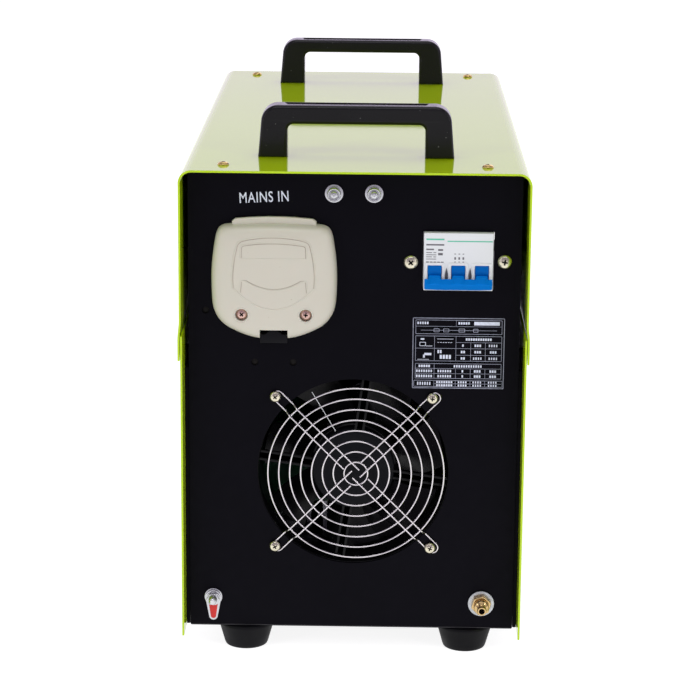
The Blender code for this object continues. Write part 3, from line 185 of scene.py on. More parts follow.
# Each row: name, slot, colour, tint, patch, roughness, spread, grain, grain height, specular level
METAL, BRUSHED = {"metallic": 1.0}, {"metallic": 1.0, "stretch": (1, 0.15, 1)}
for row, extras in (
    (("lime_paint", "lime_paint", (0.44, 0.64, 0.004), 0.03, 5, 0.4, 0.03, 240, 0.012, 0.0),
     {"settings": {"Coat Weight": 1.0, "Coat Roughness": 0.05, "Coat IOR": 1.5}}),
    (("black_powder_coat", "black_paint", (0.0008, 0.0008, 0.0016), 0.18, 22, 0.42, 0.06, 1700, 0.03, 0.085),
     {"settings": {"Specular Tint": (0.86, 0.82, 1.0, 1.0)}}),
    # A lighter black for the wire along each end panel's bottom fold: a painted highlight.
    (("worn_edge", "black_paint", (0.016, 0.0155, 0.019), 0.4, 60, 0.4, 0.1, 1200, 0.01), {}),
    # The handle's edge colour is a painted highlight on its sharp edges.
    (("handle_plastic", "handle_plastic", (0.007, 0.0068, 0.008), 0.15, 14, 0.2, 0.06, 900, 0.012, 0.26),
     {"specks": ((0.12, 0.12, 0.12), 0.01), "edge": (0.024, 0.024, 0.026)}),
    (("black_plastic", "black_plastic", (0.012, 0.012, 0.013), 0.15, 14, 0.38, 0.08, 1500, 0.01), {}),
    (("fan_plastic", "black_plastic", (0.002, 0.002, 0.0024), 0.2, 14, 0.2, 0.08, 700, 0.01, 0.16),
     {"specks": ((0.06, 0.06, 0.06), 0.01)}),
    (("motor_cap", "black_plastic", (0.004, 0.0045, 0.006), 0.15, 14, 0.5, 0.06, 500, 0.02, 0.12), {}),
    # The rubber's edge colour is a painted highlight on its sharp edges.
    (("rubber", "rubber", (0.0025, 0.0025, 0.0036), 0.25, 14, 0.5, 0.1, 800, 0.03, 0.14),
     {"edge": (0.012, 0.012, 0.013)}),
    (("ivory_plastic", "ivory_plastic", (0.556, 0.538, 0.444), 0.008, 40, 0.29, 0.012, 1100, 0.006),
     {"specks": ((0.45, 0.4, 0.3), 0.005),
      "settings": {"Subsurface Weight": 0.05, "Subsurface Scale": 0.002}}),
    (("white_plastic", "white_plastic", (0.69, 0.715, 0.715), 0.02, 14, 0.4, 0.05, 1600, 0.008), {}),
    # The blue plastic's edge colour is a painted highlight on its sharp edges.
    (("blue_plastic", "blue_plastic", (0.0, 0.165, 0.58), 0.05, 14, 0.4, 0.05, 1200, 0.008, 0.05),
     {"edge": (0.0, 0.21, 0.66)}),
    # A darker copy of the blue plastic for the toggle drums down in the windows: painted shade.
    (("dark_blue_plastic", "blue_plastic", (0.0, 0.11, 0.42), 0.05, 14, 0.4, 0.05, 1200, 0.008, 0.06), {}),
    (("white_print", "white_plastic", (0.62, 0.66, 0.76), 0.12, 500, 0.5, 0.05, 3000, 0.004), {}),
    (("rule_print", "white_plastic", (0.3, 0.32, 0.4), 0.25, 300, 0.5, 0.05, 3000, 0.004), {}),
    # This grey serves the breaker's small print, and as painted shade in the breaker's recesses.
    (("grey_print", "black_plastic", (0.13, 0.13, 0.14), 0.2, 500, 0.5, 0.05, 3000, 0.004), {}),
    (("teal_print", "white_plastic", (0.1, 0.5, 0.33), 0.08, 500, 0.5, 0.05, 3000, 0.004), {}),
    (("red_print", "zinc", (0.6, 0.012, 0.008), 0.1, 200, 0.35, 0.05, 1500, 0.006), {}),
    (("chrome", "chrome", (0.74, 0.71, 0.72), 0.03, 14, 0.16, 0.05, 900, 0.004), METAL),
    (("zinc", "zinc", (0.62, 0.63, 0.65), 0.08, 180, 0.26, 0.1, 900, 0.008), METAL),
    (("yellow_zinc", "yellow_zinc", (0.72, 0.54, 0.2), 0.14, 260, 0.2, 0.1, 900, 0.008), METAL),
    (("copper_zinc", "yellow_zinc", (0.7, 0.47, 0.4), 0.2, 260, 0.28, 0.1, 900, 0.008), METAL),
    (("brass", "brass", (0.66, 0.47, 0.22), 0.08, 120, 0.22, 0.08, 1400, 0.008), BRUSHED),
    (("pale_brass", "yellow_zinc", (0.72, 0.68, 0.52), 0.12, 260, 0.22, 0.1, 900, 0.008), METAL),
    (("recess_shade", "ferrite", (0.006, 0.005, 0.004), 0.2, 14, 0.6, 0.1, 900, 0.01, 0.2), {}),
    (("ivory_shade", "ivory_plastic", (0.36, 0.32, 0.25), 0.15, 60, 0.5, 0.06, 1100, 0.006), {}),
    (("aluminium", "aluminium", (0.5, 0.51, 0.53), 0.05, 14, 0.36, 0.08, 1500, 0.01),
     {"metallic": 1.0, "stretch": (1, 0.05, 1)}),
    (("galvanised", "galvanised", (0.5, 0.52, 0.53), 0.2, 60, 0.42, 0.12, 700, 0.01), METAL),
    (("board", "board", (0.01, 0.13, 0.05), 0.2, 90, 0.35, 0.08, 600, 0.03),
     {"specks": ((0.5, 0.45, 0.3), 0.05)}),
    (("ferrite", "ferrite", (0.03, 0.03, 0.032), 0.25, 14, 0.6, 0.1, 500, 0.03), {}),
    (("copper", "copper", (0.5, 0.2, 0.07), 0.15, 14, 0.3, 0.08, 420, 0.3),
     {"metallic": 1.0, "stretch": (1, 1, 0.05)}),
    (("hose", "hose", (0.02, 0.06, 0.25), 0.1, 14, 0.42, 0.08, 900, 0.02), {}),
    (("window", "window", (0.03, 0.004, 0.005), 0.15, 14, 0.08, 0.03, 500, 0.001),
     {"settings": {"Coat Weight": 0.6, "Coat Roughness": 0.02}}),
    (("lit_segment", "window", (0.8, 0.03, 0.01), 0.1, 14, 0.3, 0.05, 900, 0.001),
     {"settings": {"Emission Color": (1.0, 0.05, 0.02, 1.0), "Emission Strength": 1.6}}),
):
    look(*row, **extras)

# ---- shape helpers

STANDING = Matrix.Rotation(math.pi / 2, 4, "X")  # a flat outline's x, y become world X, Z
ACROSS = Matrix.Rotation(math.pi / 2, 4, "Z") @ STANDING  # and here world Y, Z
OUTWARD = {
    "rear": Matrix.Rotation(math.pi / 2, 4, "X"),
    "front": Matrix.Rotation(-math.pi / 2, 4, "X"),
    "up": Matrix.Identity(4),
    "down": Matrix.Rotation(math.pi, 4, "X"),
}


def add_piece(name, mesh, finish, body="case", stands_for=(), weighted=False):
    """Puts a mesh in the scene with its finish, on the body that carries it."""
    obj = bpy.data.objects.new(name, mesh)
    SCENE.collection.objects.link(obj)
    material, slot = LOOKS[finish]
    mesh.name = name
    if not mesh.materials:
        mesh.materials.append(material)
    if weighted:
        obj.modifiers.new("Even shading", "WEIGHTED_NORMAL").keep_sharp = True
    if stands_for:
        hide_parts(*stands_for)
    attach(obj, body)
    return obj


def stand_in(node, suffix, mesh, finish, body="case", weighted=False):
    """A piece that is shown in place of a CAD node, and is named after it."""
    return add_piece(f"{node}_{suffix}", mesh, finish, body, [node], weighted)


def finish_mesh(work, sharp=38, matrix=None, scale=MM):
    """Turns a bmesh in millimetres into a smooth-shaded mesh in metres."""
    bmesh.ops.recalc_face_normals(work, faces=work.faces)
    if matrix is not None:
        bmesh.ops.transform(work, matrix=matrix, verts=work.verts)
    bmesh.ops.scale(work, vec=(scale,) * 3, verts=work.verts)
    mesh = bpy.data.meshes.new("piece")
    work.to_mesh(mesh)
    work.free()
    mesh.shade_smooth()
    mesh.set_sharp_from_angle(angle=math.radians(sharp))
    return mesh


def arc(centre, radius, start, end, count):
    """Points along an arc given in degrees, both ends included."""
    turns = (math.radians(start + (end - start) * step / count) for step in range(count + 1))
    return [(centre[0] + radius * math.cos(a), centre[1] + radius * math.sin(a)) for a in turns]


def ring(outer, inner, low, high):
    """The profile of a flat ring, for turned() with closed."""
    return [(outer, high), (outer, low), (inner, low), (inner, high)]


def circle(centre, radius, count=48):
    """A closed circle of points."""
    return arc(centre, radius, 0, 360, count)[:-1]


def node_outline(node, grow, radius, count):
    """A rounded rectangle round a node, as seen from either end of the unit."""
    low, high = box_of(node)
    return rounded_rectangle(middle_of(node).xz, high.x - low.x + grow, high.z - low.z + grow, radius, count)


def rounded_rectangle(centre, width, height, radius, count=5):
    """A rectangle with rounded corners, as a closed outline."""
    outline = []
    for across, up, start in ((1, 1, 0), (-1, 1, 90), (-1, -1, 180), (1, -1, 270)):
        corner = (centre[0] + across * (width / 2 - radius), centre[1] + up * (height / 2 - radius))
        outline += arc(corner, radius, start, start + 90, count)
    return outline


def soften(points, radius, steps=3, closed=False):
    """The line with its corners rounded, each by no more than its sides allow."""
    points = [Vector(p) for p in points]
    ring = [points[-1], *points, points[0]] if closed else points
    line = [] if closed else [points[0]]
    for before, corner, after in zip(ring, ring[1:], ring[2:]):
        reach = min(radius, (before - corner).length / 2.2, (after - corner).length / 2.2)
        start = corner + (before - corner).normalized() * reach
        end = corner + (after - corner).normalized() * reach
        for step in range(steps + 1):
            t = step / steps
            line.append((1 - t) ** 2 * start + 2 * t * (1 - t) * corner + t * t * end)
    if not closed:
        line.append(points[-1])
    return [tuple(p) for p in line]


def thick_line(line, thickness):
    """The closed outline of a sheet whose middle follows an open line."""
    line = [Vector(p) for p in line]
    left, right = [], []
    for index, point in enumerate(line):
        before = (point - line[index - 1]).normalized() if index else None
        after = (line[index + 1] - point).normalized() if index + 1 < len(line) else None
        if before is None or after is None:
            along = before if after is None else after
            reach = thickness / 2
        else:
            along = (before + after).normalized()
            reach = thickness / 2 / along.dot(after)
        side = Vector((-along.y, along.x)) * reach
        left.append(tuple(point + side))
        right.append(tuple(point - side))
    return left + right[::-1]


def applied(data, cutters=(), operation="DIFFERENCE"):
    """The mesh that Blender makes of a curve, some text, or a mesh with cutters taken away or added."""
    body, *helpers = [bpy.data.objects.new("helper", item) for item in (data, *cutters)]
    for holder in (body, *helpers):
        SCENE.collection.objects.link(holder)
    for helper in helpers:
        modifier = body.modifiers.new("Carve", "BOOLEAN")
        modifier.operation = operation
        modifier.object = helper
    made = bpy.data.meshes.new_from_object(body.evaluated_get(bpy.context.evaluated_depsgraph_get()))
    for holder in (body, *helpers):
        bpy.data.objects.remove(holder)
    return made


def mesh_of_curve(curve, matrix, sharp=38):
    """A curve or some text made into a mesh, with points that coincide merged."""
    raw = applied(curve)
    work = bmesh.new()
    work.from_mesh(raw)
    bpy.data.meshes.remove(raw)
    bmesh.ops.remove_doubles(work, verts=work.verts, dist=0.0005)
    return finish_mesh(work, sharp, matrix)


def plate(outlines, near, far, edge=0.3, steps=1, facing=STANDING, sharp=38):
    """Flat outlines with holes between two depths, with every rim rounded by edge."""
    curve = bpy.data.curves.new("plate", "CURVE")
    curve.dimensions = "2D"
    curve.fill_mode = "BOTH"
    curve.extrude = abs(far - near) / 2 - edge
    curve.bevel_depth = edge
    curve.bevel_resolution = steps
    curve.offset = -edge
    for outline in outlines:
        spline = curve.splines.new("POLY")
        spline.points.add(len(outline) - 1)
        spline.use_cyclic_u = True
        for point, (across, up) in zip(spline.points, outline):
            point.co = (across, up, 0, 1)
    middle = (near + far) / 2
    offset = Vector((middle, 0, 0)) if facing is ACROSS else Vector((0, middle, 0))
    return mesh_of_curve(curve, Matrix.Translation(offset) @ facing, sharp)


def wires(lines, radius, sides=3):
    """Round wires along lines of points, each line being (points, closed)."""
    curve = bpy.data.curves.new("wires", "CURVE")
    curve.dimensions = "3D"
    curve.bevel_depth = radius
    curve.bevel_resolution = sides
    curve.use_fill_caps = True
    for points, closed in lines:
        spline = curve.splines.new("POLY")
        spline.points.add(len(points) - 1)
        spline.use_cyclic_u = closed
        for point, spot in zip(spline.points, points):
            point.co = (*spot, 1)
    return mesh_of_curve(curve, None, 50)


def turned(profile, at, facing="up", steps=48, round_off=0.25, closed=False, sharp=38):
    """A (radius, height) profile turned about an axis through a point, with its corners softened."""
    profile = soften(profile, round_off, 2, closed) if round_off else profile
    work = bmesh.new()
    line = [work.verts.new((radius, 0, height)) for radius, height in profile]
    edges = [work.edges.new(pair) for pair in zip(line, line[1:])]
    if closed:
        edges.append(work.edges.new((line[-1], line[0])))
    bmesh.ops.spin(work, geom=line + edges, axis=(0, 0, 1), cent=(0, 0, 0), steps=steps, angle=math.tau)
    bmesh.ops.remove_doubles(work, verts=work.verts, dist=0.0005)
    matrix = Matrix.Translation(Vector(at)) @ OUTWARD[facing]
    return finish_mesh(work, sharp, matrix)


def block(low, high, edge=0.4, segments=2):
    """A box between two corners with rounded edges."""
    low, high = Vector(low), Vector(high)
    work = bmesh.new()
    bmesh.ops.create_cube(work, size=1.0)
    bmesh.ops.scale(work, vec=high - low, verts=work.verts)
    bmesh.ops.translate(work, vec=(low + high) / 2, verts=work.verts)
    if edge:
        bmesh.ops.bevel(work, geom=list(work.edges), offset=edge, segments=segments, affect="EDGES")
    return finish_mesh(work)


def joined(meshes, sharp=38):
    """Several meshes as one."""
    work = bmesh.new()
    for mesh in meshes:
        work.from_mesh(mesh)
        bpy.data.meshes.remove(mesh)
    return finish_mesh(work, sharp, scale=1.0)


def carved(mesh, cutters, operation="DIFFERENCE", sharp=38):
    """The mesh with cutter meshes taken away, or added."""
    made = applied(mesh, cutters, operation)
    made.shade_smooth()
    made.set_sharp_from_angle(angle=math.radians(sharp))
    return made


def dress(node, finish, edge=0.3):
    """A CAD node that is shown as it is: its finish, and a small round on its edges."""
    obj = frame["nodes"][node]
    bpy.context.view_layer.objects.active = obj
    if obj.data.has_custom_normals:
        bpy.ops.mesh.customdata_custom_splitnormals_clear()
    obj.data.shade_smooth()
    material, slot = LOOKS[finish]
    obj.data.materials.clear()
    obj.data.materials.append(material)
    weld = obj.modifiers.new("Closed mesh", "WELD")
    weld.merge_threshold = 0.00001
    if edge:
        rounding = obj.modifiers.new("Rounded edges", "BEVEL")
        rounding.width = edge * MM
        rounding.segments = 2
        rounding.limit_method = "ANGLE"
        rounding.angle_limit = math.radians(40)
    obj.modifiers.new("Even shading", "WEIGHTED_NORMAL").keep_sharp = True


# ---- camera, light and floor

CAMERA_AT = Vector((0.02086, -2.11096, 0.71259))
CAMERA_DOWN = 0.24608
CAMERA_YAW = -0.0128
CAMERA_ROLL = 0.00906
LENS = 127.73


def build_camera():
    """The camera fitted to the photo."""
    camera = bpy.data.objects.new("camera", bpy.data.cameras.new("camera"))
    SCENE.collection.objects.link(camera)
    camera.data.sensor_width = 36.0
    camera.data.lens = LENS
    camera.data.clip_start = 0.05
    camera.data.clip_end = 50.0
    turn = Matrix.Rotation(-CAMERA_YAW, 4, "Z") @ Matrix.Rotation(math.pi / 2 - CAMERA_DOWN, 4, "X")
    turn = turn @ Matrix.Rotation(CAMERA_ROLL, 4, "Z")
    camera.matrix_world = Matrix.Translation(CAMERA_AT) @ turn
    SCENE.camera = camera


def area_light(name, at, aim, width, height, power, mirrored_in_paint=True):
    """A rectangular light. One that isn't mirrored lights a surface but leaves no reflection on it."""
    light = bpy.data.lights.new(name, "AREA")
    light.shape = "RECTANGLE"
    light.size = width
    light.size_y = height
    light.energy = power
    holder = bpy.data.objects.new(name, light)
    SCENE.collection.objects.link(holder)
    holder.visible_glossy = mirrored_in_paint
    holder.location = at
    holder.rotation_euler = (Vector(aim) - Vector(at)).to_track_quat("-Z", "Y").to_euler()


def build_world():
    """Bright behind the unit, dimmer overhead and in front, so that metal shows contrast."""
    world = bpy.data.worlds.new("studio")
    world.use_nodes = True
    tree = world.node_tree
    tree.nodes.clear()
    behind = remap(tree, coordinate(tree, "Generated", "Y"), 0.4, 1.17, -0.5, 0.3)
    overhead = remap(tree, coordinate(tree, "Generated", "Z"), 1.0, 0.45, 0.25, 0.75)
    strength = tree.nodes.new("ShaderNodeMath")
    strength.operation = "MULTIPLY"
    tree.links.new(behind, strength.inputs[0])
    tree.links.new(overhead, strength.inputs[1])
    background = tree.nodes.new("ShaderNodeBackground")
    tree.links.new(strength.outputs["Value"], background.inputs["Strength"])
    background.inputs["Color"].default_value = (0.95, 0.84, 1.08, 1.0)
    output = tree.nodes.new("ShaderNodeOutputWorld")
    tree.links.new(background.outputs["Background"], output.inputs["Surface"])
    SCENE.world = world


def build_floor():
    """A white floor with light of its own, weaker towards the camera, so that only a faint shadow shows."""
    work = bmesh.new()
    bmesh.ops.create_grid(work, x_segments=1, y_segments=1, size=12000.0)
    floor = bpy.data.objects.new("studio_floor", finish_mesh(work))
    SCENE.collection.objects.link(floor)
    material = bpy.data.materials.new("studio_floor")
    material.use_nodes = True
    tree = material.node_tree
    shader = tree.nodes["Principled BSDF"]
    settings = {"Roughness": 0.9, "Specular IOR Level": 0.1, "Base Color": (0.42, 0.42, 0.42, 1.0),
                "Emission Color": (1.0, 1.0, 1.0, 1.0)}
    for socket, value in settings.items():
        shader.inputs[socket].default_value = value
    glow = remap(tree, coordinate(tree, "Object", "Y"), 0.36, 0.88, -2.2, -0.5)
    tree.links.new(glow, shader.inputs["Emission Strength"])
    floor.data.materials.append(material)


def build_studio():
    """The camera, the lights and the floor of the picture."""
    build_camera()
    build_world()
    build_floor()
    SCENE.view_settings.view_transform = "Standard"
    for side, sign, power in (("left", -1, 12.5), ("right", 1, 11.5)):
        area_light("box_" + side, (1.9 * sign, -1.7, 0.95), (0, -0.25, 0.3), 0.6, 1.3, power, False)
        area_light("strip_" + side, (1.5 * sign, -1.8, 0.95), (0, -0.25, 0.3), 0.16, 1.2, 3.2)
    area_light("box_above", (0, -1.7, 2.3), (0, -0.25, 0.25), 1.8, 0.8, 12.5)
    area_light("top", (0.2, 0.6, 2.6), (0, 0, 0.3), 1.5, 1.5, 8.5)
    area_light("far_side", (0.8, 2.4, 1.6), (0, 0.2, 0.2), 1.2, 1.2, 4.5)


# ---- case sheets

LIP_TOP = 271.0
LIP_JOGGLE = 260.0
JOGGLE = 1.2
COVER_BEND = 10.0
PANEL_CORNER = 4.0
FLANGE = 14.0


def build_cover():
    """One bright sheet over the top, joggled outwards where it laps the side panels."""
    edge_x = COVER_HIGH.x - SHEET / 2
    side, top, bend = edge_x - JOGGLE, COVER_HIGH.z - SHEET / 2, COVER_BEND - SHEET / 2
    lap = soften([(edge_x, COVER_LOW.z), (edge_x, LIP_JOGGLE), (side, LIP_TOP), (side, LIP_TOP + 40)], 3.0, 4)
    right = lap + arc((side - bend, top - bend), bend, 0, 90, 14)
    line = right + [(-x, z) for x, z in reversed(right)]
    mesh = plate([thick_line(line, SHEET)], COVER_LOW.y, COVER_HIGH.y, 0.3, 2)
    stand_in("top_cover", "sheet", mesh, "lime_paint", weighted=True)


def build_side_panels():
    """Flat lower sides with two columns of cooling slots towards the operator's end."""
    slots = [rounded_rectangle((column, 80.0 + 11.0 * row), 50.0, 4.0, 1.95, 5)
             for column in (110.0, 175.0) for row in range(7)]
    for node in ("side_panel_left", "side_panel_right"):
        low, high = box_of(node)
        outline = rounded_rectangle(middle_of(node).yz, high.y - low.y, high.z - low.z, 0.8, 2)
        sheet = plate([outline] + slots, low.x, high.x, 0.3, 2, ACROSS)
        stand_in(node, "sheet", sheet, "lime_paint", weighted=True)


def build_base_upstands():
    """Black strips against the side panels beside the end panels: painted shade in the gaps there, with their
    lowest part standing for the base's turned-up edges.
    """
    reach = (PANEL_HIGH.x + 0.6, box_of("side_panel_right")[0].x - 0.2)
    low_y, low_z = PANEL_LOW.y + 2.0, PANEL_LOW.z
    for name, sign in (("left", -1), ("right", 1)):
        inner, outer = sorted(sign * x for x in reach)
        # Each strip is black to paint the shade in the gap between end panel and side sheet.
        strip = block((inner, low_y, low_z), (outer, -low_y, low_z + 210), 0.3)
        add_piece("case_gap_shade_" + name, strip, "black_powder_coat")


def end_panel(node, holes, outward):
    """An end panel with rounded upper corners and a flange under the cover."""
    low, high = box_of(node)
    side = low.z + 20
    outline = soften([(low.x, side), (low.x, high.z), (high.x, high.z), (high.x, side)], PANEL_CORNER, 6)
    outline += soften([(high.x, side), (high.x, low.z), (low.x, low.z), (low.x, side)], 0.8, 2)
    face = low.y if outward < 0 else high.y
    near, far = sorted((face - outward * 0.4, face - outward * FLANGE))
    sheet = plate([outline] + holes, *sorted((face, face - outward * SHEET)), 0.3, 2)
    flange = block((low.x + 4, near, high.z - SHEET), (high.x - 4, far, high.z), 0.2, 1)
    stand_in(node, "sheet", joined([sheet, flange]), "black_powder_coat", weighted=True)
    # A lighter wire along the bottom fold: a painted highlight where the fold would catch light.
    fold = [(low.x + 1, face, low.z + 0.35), (high.x - 1, face, low.z + 0.35)]
    add_piece(node + "_fold", wires([(fold, False)], 0.34), "worn_edge")


def round_holes(nodes, radius):
    """A round hole in the panel for each of the nodes."""
    return [circle(middle_of(node).xz, radius, 24) for node in nodes]


FAN_HOLE = 74.6
GUARD_SCREWS = [f"guard_screw_{up}_{side}" for up in ("upper", "lower") for side in ("left", "right")]
SPARE_HOLES = ((-76.3, 236.0), (-46.7, 236.0), (-114.1, 276.8))


def build_end_panels():
    """The panels of both ends, with the openings for what stands through them."""
    low, high = box_of("breaker_body")
    centre = ((low.x + high.x) / 2, BREAKER_Z)
    holes = [circle(FAN.xz, FAN_HOLE, 120),
             rounded_rectangle(centre, high.x - low.x + 0.6, BREAKER_NOSE + 0.6, 0.6, 2)]
    holes += [circle(spot, 2.6, 24) for spot in SPARE_HOLES]
    # Dark discs just behind the spare holes: painted shade, so that the holes read as dark openings.
    shade_discs = [plate([circle(spot, 3.4, 24)], REAR + 1.9, REAR + 2.7, 0.1, 1) for spot in SPARE_HOLES]
    add_piece("spare_hole_shade_discs", joined(shade_discs), "recess_shade")
    holes += round_holes(GUARD_SCREWS + ["breaker_screw_left", "breaker_screw_right"], 2.3)
    holes += round_holes(["top_stud_left", "top_stud_right", "earth_bolt"], 3.4)
    holes += round_holes(["air_inlet_barb"], 5.4)
    end_panel("rear_panel", holes, -1)

    holes = round_holes(["current_knob"], 4.2) + round_holes(["torch_connector"], 9.3)
    holes += round_holes(["work_socket"], 11.3) + round_holes(["control_socket"], 8.3)
    holes += [node_outline("display_window", -11.4, 0.6, 2), node_outline("mode_switch_body", -3.6, 0.6, 2)]
    end_panel("front_panel", holes, 1)


# ---- screws


def cross_screw(finish, radius, height, shank, length):
    """A pan head with a dark cross recess and a short shank, seated at the origin and facing up."""
    head = [(0, height), (radius * 0.4, height * 0.98), (radius * 0.78, height * 0.76),
            (radius, height * 0.34), (radius, 0), (shank, 0), (shank, -length), (0, -length)]
    mesh = turned(head, (0, 0, 0), "up", 40, 0.25)
    shades = [LOOKS[finish][0], LOOKS["recess_shade"][0]]
    for shade in shades:
        mesh.materials.append(shade)
    cutters = []
    for turn in (0, math.pi / 2):
        work = bmesh.new()
        bmesh.ops.create_cube(work, size=1.0)
        bmesh.ops.scale(work, vec=(radius * 1.05, radius * 0.27, height * 1.3), verts=work.verts)
        for vert in work.verts:
            if vert.co.z < 0:
                vert.co.x *= 0.4
                vert.co.y *= 0.7
        bmesh.ops.translate(work, vec=(0, 0, height * 0.8), verts=work.verts)
        cutter = finish_mesh(work, matrix=Matrix.Rotation(turn + 0.4, 4, "Z"))
        for shade in shades:
            cutter.materials.append(shade)
        for face in cutter.polygons:
            face.material_index = 1
        cutters.append(cutter)
    return carved(mesh, cutters)


def set_screws(nodes, finish, sizes, facing, seat):
    """The same screw at each node, turned a little differently each time."""
    mesh = cross_screw(finish, *sizes)
    for index, node in enumerate(nodes):
        at = middle_of(node)
        at[2 if facing == "up" else 1] = seat
        obj = stand_in(node, "shown", mesh.copy(), finish)
        spin = Matrix.Rotation(0.7 * index + 0.3, 4, "Z")
        obj.matrix_world = Matrix.Translation(at * MM) @ OUTWARD[facing] @ spin


def build_screws():
    """Sizes are the head's radius and height, then the shank's radius and length."""
    cover = [f"cover_screw_{end}_{side}" for end in ("rear", "front") for side in ("left", "right")]
    set_screws(cover, "yellow_zinc", (4.35, 2.5, 1.6, 8), "up", COVER_HIGH.z)
    for nodes, finish, sizes, shown in (
        (["breaker_screw_left", "breaker_screw_right"], "pale_brass", (5.5, 3.3, 2.0, 8), 3.2),
        (GUARD_SCREWS, "pale_brass", (4.3, 2.6, 1.9, 8), 2.6),
        (["terminal_screw_left", "terminal_screw_right"], "copper_zinc", (4.4, 2.3, 1.7, 10), 2.2),
    ):
        set_screws(nodes, finish, sizes, "rear", box_of(nodes[0])[0].y + shown)


# ---- handles and feet


def build_handle(node, underside):
    """A moulded bow whose legs splay a little, with a shallow pocket along its top."""
    low, high = box_of(node)
    base, top, foot_half = low.z, high.z, high.x
    top_half, inner_half, outer_radius, inner_radius = foot_half - 3.4, 53.2, 13.0, 5.0
    slope = (foot_half - top_half) / (top - base)
    corner_x = top_half - outer_radius * (1 - slope)
    right = [(foot_half, base)] + arc((corner_x, top - outer_radius), outer_radius, 5, 90, 14)
    inner = arc((inner_half - inner_radius, underside - inner_radius), inner_radius, 90, 0, 8)
    inner.append((inner_half, base))
    outline = right + [(-x, z) for x, z in reversed(right)] + [(-x, z) for x, z in reversed(inner)] + inner
    body = plate([outline], low.y, high.y, 2.7, 4)
    middle, half_x, half_y, deep, ramp = (low.y + high.y) / 2, 56.0, 7.1, 0.8, 2.5
    corners = [(-half_x, top + 1), (-half_x, top), (ramp - half_x, top - deep), (half_x - ramp, top - deep),
               (half_x, top), (half_x, top + 1)]
    pocket = plate([corners], middle - half_y, middle + half_y, 0.0, 0)
    shown = carved(body, [pocket])
    stand_in(node, "moulding", shown, "handle_plastic", weighted=True)
    gate = turned([(0, 0.35), (1.6, 0.3), (2.0, 0.0), (0, 0)], (1.0, middle, underside), "down", 20, 0.1)
    add_piece(node + "_gate_mark", gate, "handle_plastic")


def build_feet():
    """Tapered rubber feet, each with a washer and a screw up its middle."""
    for node in [f"foot_{end}_{side}" for end in ("rear", "front") for side in ("left", "right")]:
        low, high = box_of(node)
        top, wide = high.z, (high.x - low.x) / 2
        at = ((low.x + high.x) / 2, (low.y + high.y) / 2, 0)
        profile = [(0, top), (wide - 3.4, top), (wide - 0.5, top - 0.8), (wide, top - 2.6), (17.4, 2.4),
                   (16.6, 0.5), (15.4, 0), (13.0, 0), (12.4, 0.6), (9.0, 0.6), (8.4, 0), (7.0, 0), (7.0, 9.0),
                   (0, 9.0)]
        stand_in(node, "rubber", turned(profile, at, "up", 64, 0.5), "rubber")
        add_piece(node + "_washer", turned(ring(6.2, 2.6, 7.8, 9.0), at, "up", 32, 0.2, True), "zinc")
        screw = add_piece(node + "_screw", cross_screw("zinc", 4.0, 2.6, 2.0, 2.0), "zinc")
        screw.matrix_world = Matrix.Translation(Vector((at[0], at[1], 7.8)) * MM) @ OUTWARD["down"]


# ---- mains terminal cover

TERMINAL_X = middle_of("terminal_cover").x
TERMINAL_Z = 302.0
TERMINAL_KNOTS = (
    ((0, 255.6), (0, 255.6), (16, 255.6)),
    ((33, 263.8), (24, 259.4), (40.5, 267.4)),
    ((47.3, 284), (46.2, 274.5), (47.9, 290)),
    ((48.1, 304), (48.1, 297), (48.1, 316)),
    ((44.8, 335.5), (46.4, 327), (43.4, 342.6)),
    ((34, 345), (40.5, 344.6), (22, 345.8)),
    ((0, 346.4), (12, 346.4), (0, 346.4)),
)
TERMINAL_LEVELS = ((0, -0.1), (0.1, 3), (0.4, 6), (1.1, 8.3), (2.2, 10), (3.9, 11.3), (6, 12.2), (9, 12.9),
                   (13, 13.5), (20, 14.0), (30, 14.15), (40, 14.2))  # (drawn in by, proud of the panel)


def terminal_outline():
    """The outline of the terminal cover, as seen from the rear."""
    half = []
    for start, end in zip(TERMINAL_KNOTS, TERMINAL_KNOTS[1:]):
        controls = (start[0], start[2], end[1], end[0])
        half += interpolate_bezier(*(Vector((*c, 0)) for c in controls), 10)[:-1]
    right = [(p.x, p.y - TERMINAL_Z) for p in half] + [(0, TERMINAL_KNOTS[-1][0][1] - TERMINAL_Z)]
    return right + [(-x, z) for x, z in reversed(right[1:-1])]


def terminal_dome(back):
    """The cover's outer skin, drawn in ring by ring from its rim to a nearly flat face."""
    outline = terminal_outline()
    half_width = max(x for x, _ in outline)
    half_height = max(z for _, z in outline)
    work = bmesh.new()
    rings = []
    for inset, proud in TERMINAL_LEVELS:
        shrink_x, shrink_z = 1 - inset / half_width, 1 - inset / half_height
        rings.append([
            work.verts.new((TERMINAL_X + x * shrink_x, back - proud, TERMINAL_Z + z * shrink_z))
            for x, z in outline
        ])
    for lower, upper in zip(rings, rings[1:]):
        for index in range(len(lower)):
            work.faces.new((lower[index - 1], lower[index], upper[index], upper[index - 1]))
    work.faces.new(rings[-1])
    work.faces.new(rings[0])
    return finish_mesh(work, 60)


def draped(tree, line, back, sink):
    """Points of a line in (x, z) laid on a surface, sunk in by sink."""
    points = []
    for x, z in line:
        hit = tree.ray_cast(Vector((x, back - 60, z)) * MM, Vector((0, 1, 0)))[0]
        if hit is not None:
            points.append(Vector((x, hit.y / MM + sink, z)))
    return points


def bowed(start, end, rise, count=16):
    """Points from one to another with the middle lifted by rise."""
    points = []
    for step in range(count + 1):
        t = step / count
        x = start[0] + (end[0] - start[0]) * t
        z = start[1] + (end[1] - start[1]) * t + rise * 4 * t * (1 - t)
        points.append((x, z))
    return points


def across_cover(half, rise):
    """A line on the left half of the cover, joined by a bow to its mirror image."""
    other = [(2 * TERMINAL_X - x, z) for x, z in reversed(half)]
    return half + bowed(half[-1], other[0], rise)[1:-1] + other


